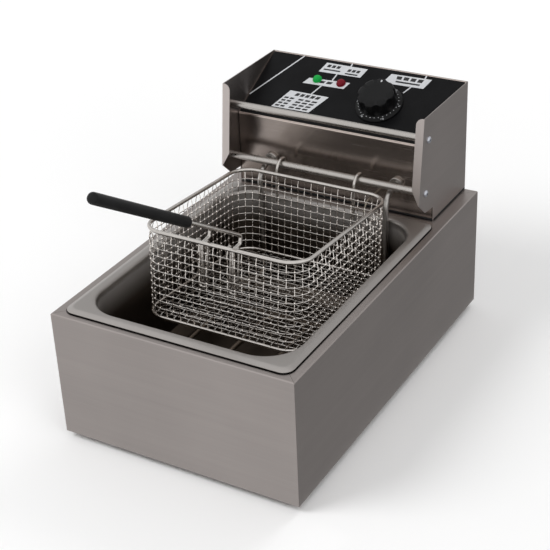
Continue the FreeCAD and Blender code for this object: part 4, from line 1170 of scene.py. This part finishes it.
class FRYER_OT_element(FryerOperator, bpy.types.Operator):
    """Make the heating element, its nuts and braces and the temperature sensor"""

    bl_idname = "fryer.element"
    bl_label = "Heating element"

    LEG_X, LEG_Y, TAIL_Y, OUTLET = 81.0, 132.3, 185.8, 191.5

    def make(self, sizes):
        self.tube(sizes.element_tube)
        self.nuts()
        folded("element_braces", "control_head", "element", edge=0.25 * MM)
        self.sensor()

    def tube(self, radius):
        """One tube down the left leg, to and fro over the tank's floor and up the right leg."""
        inner_x, low, front_y, rear_y, bend = 27.0, 53.0, -144.7, 47.3, 19
        left = [
            (-self.LEG_X, self.TAIL_Y, self.OUTLET), (-self.LEG_X, self.LEG_Y, self.OUTLET),
            (-self.LEG_X, self.LEG_Y, low), (-self.LEG_X, front_y, low),
            (-inner_x, front_y, low), (-inner_x, rear_y, low),
        ]
        runs = [left + mirrored(left)]
        tube = bent_wire("element_tube", runs, radius, bend, "element", steps=12, sides=18)
        hand_over(tube, "control_head", ("heating_element",), sharp=40)

    def nuts(self):
        ring = [(3.4, 0.05), (8.1, 0.05), (8.5, 0.4), (8.5, 3.5), (8.0, 4.0), (4.4, 4.0), (3.6, 3.5)]
        ring += [(3.4, 3.0), (3.4, 0.05)]
        pattern = lathe("nut_pattern", ring, Matrix(), 36)
        spots = [(mm(side * self.LEG_X, PANEL_Y, self.OUTLET), (0, -1, 0)) for side in (-1, 1)]
        nuts = set_out("element_collars", pattern, spots, "rod")
        hand_over(nuts, "control_head", ("element_nuts",), sharp=35)

    def sensor(self):
        x, z, begin, end, overlap, outlet = 54.0, 60.45, -22.2, 67.8, 3, 174.5
        shell = [(0, 0), (2.0, 0.15), (2.7, 0.8), (3.0, 2.0), (3.0, 86), (2.6, 88), (1.5, 89.6), (1.1, 90)]
        shell.append((0, 90))
        bulb = lathe("sensor_bulb", shell, shift(x, begin, z) @ turned(-90, "X"), 28)
        bulb.data.materials.append(finish_for("brass"))
        route = [(x, end - overlap, z), (x, self.LEG_Y, z), (x, self.LEG_Y, outlet), (x, self.TAIL_Y, outlet)]
        capillary = bent_wire("capillary", [route], 1.1 * MM, 13, "brass", sides=10)
        sensor = joined("sensor", [bulb, capillary])
        hand_over(sensor, "control_head", ("thermostat_bulb",), sharp=40)


class FRYER_OT_services(FryerOperator, bpy.types.Operator):
    """Make the parts inside the head and the mains gland"""

    bl_idname = "fryer.services"
    bl_label = "Services"

    def make(self, sizes):
        for node in ("thermostat_body", "terminal_block"):
            folded(node, "control_head", "plastic", edge=0.8 * MM)
        profile = [
            (4.0, -7), (7.2, -7), (7.5, -6.7), (7.5, 0.1), (9.7, 0.1), (10, 0.5), (10, 3.2), (9.4, 3.8),
            (9.4, 5), (9.8, 5.4), (9.8, 8), (9.2, 10), (8.4, 13.5), (7.6, 16.4), (7.0, 17), (4.6, 17),
            (4.0, 16.4), (4.0, -7),
        ]
        place = shift(-70, CABINET_BACK, 189) @ turned(-90, "X")
        gland = lathe("gland_body", profile, place, 36, self.ribbed)
        hand_over(gland, "control_head", ("cable_gland",), "plastic", sharp=35)

    def ribbed(self, radius, height, angle):
        """Grip ribs round the gland's cap."""
        cap_foot, cap_top, cap_radius, ribs, depth = 5.2, 13, 8, 12, 0.35
        if cap_foot < height < cap_top and radius > cap_radius:
            return radius - depth * (1 + math.cos(ribs * angle)) / 2
        return radius


class FRYER_OT_basket(FryerOperator, bpy.types.Operator):
    """Make the woven wire basket with its rings, hooks and handle sockets"""

    bl_idname = "fryer.basket"
    bl_label = "Basket"

    HALF, LENGTH, HEIGHT, CORNER = 96.0, 205.0, 99.5, 25.0
    MESH_SIDES = 6

    def ring(self, height):
        half, front = self.HALF, -self.LENGTH
        return [(half, front, height), (half, 0, height), (-half, 0, height), (-half, front, height)]

    def make(self, sizes):
        for name, height, radius, sides, node in (
            ("rim_wire", 0, sizes.rim_wire, 16, "basket_rim"),
            ("bottom_ring_wire", -self.HEIGHT, sizes.foot_wire, 14, "basket_bottom_ring"),
        ):
            ring = bent_wire(name, [self.ring(height)], radius, self.CORNER, "wire", True, 14, sides)
            self.seat(ring, node)
        self.walls(sizes)
        self.floor(sizes)
        self.hooks(sizes)
        self.sockets(sizes)

    def seat(self, piece, *nodes):
        piece.data.transform(BASKET_PLACE)
        hand_over(piece, "basket", nodes, sharp=50)

    def walls(self, sizes):
        top, bottom, levels = -2.31, -97.69, 10
        pitch = (top - bottom) / (levels + 1)
        wall = grown_piece(
            line_piece("woven_walls", [self.ring(0)], True), woven_wall_tree,
            corner=self.CORNER * MM, stations=sizes.mesh_stations, levels=levels,
            first_level=(top - pitch) * MM, pitch=pitch * MM, top=top * MM, bottom=bottom * MM,
            radius=sizes.mesh_wire, crimp=sizes.mesh_crimp, sway=sizes.mesh_sway, sides=self.MESH_SIDES,
            knot=sizes.mesh_glint, upright_material=finish_for("knot"), material=finish_for("mesh"),
        )
        self.seat(wall, "basket_rows", "basket_uprights")

    def floor(self, sizes):
        inset, spacing, wire_half = 1.81, 8.7, 0.55
        corner = self.CORNER - inset
        reach = (self.HALF - inset, self.LENGTH / 2 - inset)
        steps = [2 * side / round(2 * side / spacing) for side in reach]
        runs = []
        for axis in (0, 1):
            other = 1 - axis
            for number in range(1, round(2 * reach[other] / steps[other])):
                offset = number * steps[other] - reach[other]
                past = abs(offset) + wire_half - (reach[other] - corner)
                drawn_in = 0 if past <= 0 else corner - math.sqrt(max(corner * corner - past * past, 0))
                end = reach[axis] - drawn_in
                if axis == 0:
                    runs.append([(-end, offset, 0), (end, offset, 0)])
                else:
                    runs.append([(offset, -end, 0), (offset, end, 0)])
        floor = grown_piece(
            line_piece("woven_bottom", runs), woven_floor_tree,
            reach_x=reach[0] * MM, step_x=steps[0] * MM, reach_y=reach[1] * MM, step_y=steps[1] * MM,
            radius=sizes.mesh_wire, crimp=sizes.mesh_crimp, sway=sizes.mesh_sway, sides=self.MESH_SIDES,
            material=finish_for("mesh"),
        )
        floor.data.transform(shift(0, -self.LENGTH / 2, -self.HEIGHT))
        self.seat(floor, "basket_floor")

    def hooks(self, sizes):
        side, low, y, z, bow = 49.5, -36, 14.91, 3.49, 10.8
        near, far, crest = y - bow, y + bow, z + bow
        runs = [[(x, near, low), (x, near, crest), (x, far, crest), (x, far, z)] for x in (-side, side)]
        hooks = bent_wire("hook_wires", runs, sizes.hook_wire, bow - 0.2, "wire", steps=12, sides=14)
        self.seat(hooks, "basket_hooks")

    def sockets(self, sizes):
        half, runs = 4.75, []
        for middle in (-21.5, 15.5):
            x = middle + half
            right = [(x, -202.69, 0), (x, -196.45, 0), (x, -200.35, -51.8)]
            runs.append(right + mirrored(right, middle))
        sockets = bent_wire("socket_wires", runs, sizes.socket_wire, 2.4, "wire", steps=6, sides=12)
        self.seat(sockets, "handle_sockets")


class FRYER_OT_handle(FryerOperator, bpy.types.Operator):
    """Make the bent wire handle and its rubber grip"""

    bl_idname = "fryer.handle"
    bl_label = "Handle"

    def make(self, sizes):
        slope = math.radians(27.8)
        climb = Vector((0, -math.cos(slope), math.sin(slope)))
        near_x, x, leg_y, bend = 2.4, 18.5, -200.35, 3.4
        shoulder = Vector((x, -184.5, 8))
        under = Vector((x, -186.5, -0.5))
        knee = Vector((x, leg_y, -2.5))
        neck = Vector((0, -184.5, 8)) + climb * 79
        tip = neck + climb * 158.4
        aside = Vector((near_x, 0, 0))
        right = [Vector((x, leg_y, -50)), knee, under, shoulder, neck + aside, tip + aside]
        place = BASKET_PLACE @ shift(-3, 0, 0)
        wire = bent_wire("handle_rod", [right + mirrored(right)], sizes.handle_wire, bend, "wire")
        wire.data.transform(place)
        hand_over(wire, "basket_handle", ("handle_wire",), sharp=50)
        lean = shift(*neck) @ climb.to_track_quat("Z", "Y").to_matrix().to_4x4()
        radius, end = 5.8, 165.2
        profile = [(0, 0.9), (4.0, 0.8), (4.6, 0.1), (5.3, 0.1), (5.7, 0.7), (radius, 1.6), (radius, end)]
        profile += dome(radius, 4.6, end, range(12, 90, 12)) + [(0, 169.9)]
        grip = lathe("handle_sleeve", profile, place @ lean, 36)
        hand_over(grip, "basket_handle", ("handle_grip",), "grip", sharp=40)


# Stage, in metres


class FRYER_OT_stage(FryerOperator, bpy.types.Operator):
    """Set the pale floor, the soft light and the camera"""

    bl_idname = "fryer.stage"
    bl_label = "Stage"

    AIM = (0, 0, 0.12)
    FLOOR_REACH, CARD_GAP, CARD_LIFT, CARD_BACK = 8, 0.004, 0.002, 3.0

    def make(self, sizes):
        scene = bpy.context.scene
        self.floor()
        self.world(scene)
        self.lamp("key", (-1.5, -1.6, 2.4), 1.6, 44)
        self.lamp("fill", (2.2, -1.2, 1.8), 1.6, 14)
        self.lamp("rear", (0.4, 2.2, 2.2), 1.4, 18)
        near, right = CABINET_FRONT * MM - self.CARD_GAP, CABINET_HALF * MM + self.CARD_GAP
        low, back = self.CARD_LIFT, self.CARD_BACK
        self.card("front_card", [(x, y, low) for x, y in rectangle(-2.5, -3.0, 0.2, near)], 0.76)
        self.card("side_card", [(x, y, low) for x, y in rectangle(right, -0.6, 3.0, back)], 0.31)
        self.card("back_card", [(x, back, z) for x, z in rectangle(-4.0, 0.3, 4.0, 6.0)], 0.66)
        self.camera(scene)
        scene.view_settings.view_transform = "Standard"

    def floor(self):
        """A pale floor that takes the shadow and fades to the white of the background further off."""
        reach = self.FLOOR_REACH
        corners = [(x, y, 0) for x, y in rectangle(-reach, -reach, reach, reach)]
        ground = mesh_piece("floor", corners, [(0, 1, 2, 3)])
        finish = Finish("floor_white", Emission_Strength=1.0)
        x, y, _ = finish.parts(finish.place)
        away = finish.ramp(finish.math("SQRT", x * x + y * y) / 2, (0.25, 0.0), (0.7, 1.0))
        pale = finish.blend(finish.noise(2.0, 2.0), grey(0.965), grey(0.98))
        finish.set("Emission Color", finish.blend(away, grey(0.0), grey(1.0)))
        ground.data.materials.append(finish.surfaced(finish.blend(away, pale, grey(0.0)), 0.9))

    def card(self, name, corners, shade):
        """A grey card that only reflections see, as a studio sets round bright metal."""
        sheet = mesh_piece(name, corners, [(0, 1, 2, 3)])
        material = bpy.data.materials.new(name)
        material.use_nodes = True
        graph = Graph(material.node_tree)
        glow = graph.made("ShaderNodeEmission", values={"Color": grey(shade)})
        graph.add("ShaderNodeOutputMaterial", values={"Surface": glow})
        sheet.data.materials.append(material)
        for ray in ("camera", "diffuse", "shadow", "transmission"):
            setattr(sheet, f"visible_{ray}", False)

    def world(self, scene):
        """White where the camera or a reflection sees it, softer as a light."""
        world = bpy.data.worlds.new("studio")
        world.use_nodes = True
        scene.world = world
        graph = Graph(world.node_tree)
        path = graph.add("ShaderNodeLightPath")
        rays = [graph.out(path, f"Is {kind} Ray") for kind in ("Camera", "Glossy", "Transmission")]
        seen = graph.math("MAXIMUM", rays[0], graph.math("MAXIMUM", rays[1], rays[2]))
        light, white = [
            graph.made("ShaderNodeBackground", values={"Color": grey(1.0), "Strength": strength})
            for strength in (0.55, 1.0)
        ]
        mixed = graph.made("ShaderNodeMixShader", values={0: seen, 1: light, 2: white})
        graph.add("ShaderNodeOutputWorld", values={"Surface": mixed})

    def lamp(self, name, place, size, power):
        """A soft round lamp aimed at the fryer, which bright metal doesn't show."""
        light = bpy.data.lights.new(name, "AREA")
        light.shape = "DISK"
        light.size = size
        light.energy = power
        lamp = link_piece(name, light)
        lamp.visible_glossy = False
        lamp.location = place
        aim = Vector(self.AIM) - Vector(place)
        lamp.rotation_euler = aim.to_track_quat("-Z", "Y").to_euler()

    def camera(self, scene):
        """The view from the front and right, above and slightly rolled."""
        azimuth, elevation, roll = [math.radians(angle) for angle in (31.02, 29.76, -2.67)]
        level = math.cos(elevation)
        back = Vector((math.sin(azimuth) * level, -math.cos(azimuth) * level, math.sin(elevation)))
        across = (-back).cross(Vector((0, 0, 1))).normalized()
        up = across.cross(-back)
        right = across * math.cos(roll) + up * math.sin(roll)
        over = up * math.cos(roll) - across * math.sin(roll)
        lens_data = bpy.data.cameras.new("camera")
        lens_data.lens = 89.53
        lens_data.sensor_width = 36
        lens_data.clip_end = 50
        camera = link_piece("camera", lens_data)
        turn = Matrix((right, over, back)).transposed().to_4x4()
        camera.matrix_world = Matrix.Translation((0.67294, -1.09827, 0.87279)) @ turn
        scene.camera = camera


# Sidebar and registration


class FRYER_PT_sidebar(bpy.types.Panel):
    """Pieces and sizes of the fryer"""

    bl_idname = "FRYER_PT_sidebar"
    bl_label = "Deep fryer"
    bl_space_type = "VIEW_3D"
    bl_region_type = "UI"
    bl_category = "Fryer"

    def draw(self, context):
        for operator in OPERATORS:
            self.layout.operator(operator.bl_idname)
        for group in (context.scene.fryer_sizes, context.scene.fryer_colours):
            box = self.layout.box()
            for name in type(group).__annotations__:
                box.prop(group, name)


OPERATORS = (
    FRYER_OT_cabinet,
    FRYER_OT_tank,
    FRYER_OT_head,
    FRYER_OT_label,
    FRYER_OT_lamps,
    FRYER_OT_knob,
    FRYER_OT_element,
    FRYER_OT_services,
    FRYER_OT_basket,
    FRYER_OT_handle,
    FRYER_OT_stage,
)
CLASSES = (FryerSizes, FryerColours, *OPERATORS, FRYER_PT_sidebar)


def register():
    for item in CLASSES:
        bpy.utils.register_class(item)
    bpy.types.Scene.fryer_sizes = PointerProperty(type=FryerSizes)
    bpy.types.Scene.fryer_colours = PointerProperty(type=FryerColours)


def unregister():
    del bpy.types.Scene.fryer_colours
    del bpy.types.Scene.fryer_sizes
    for item in reversed(CLASSES):
        bpy.utils.unregister_class(item)


def main():
    register()
    bpy.ops.fryer.stage()
    bpy.ops.fryer.cabinet()
    bpy.ops.fryer.tank()
    bpy.ops.fryer.head()
    bpy.ops.fryer.label()
    bpy.ops.fryer.lamps()
    bpy.ops.fryer.knob()
    bpy.ops.fryer.element()
    bpy.ops.fryer.services()
    bpy.ops.fryer.basket()
    bpy.ops.fryer.handle()


if __name__ == "__main__":
    main()
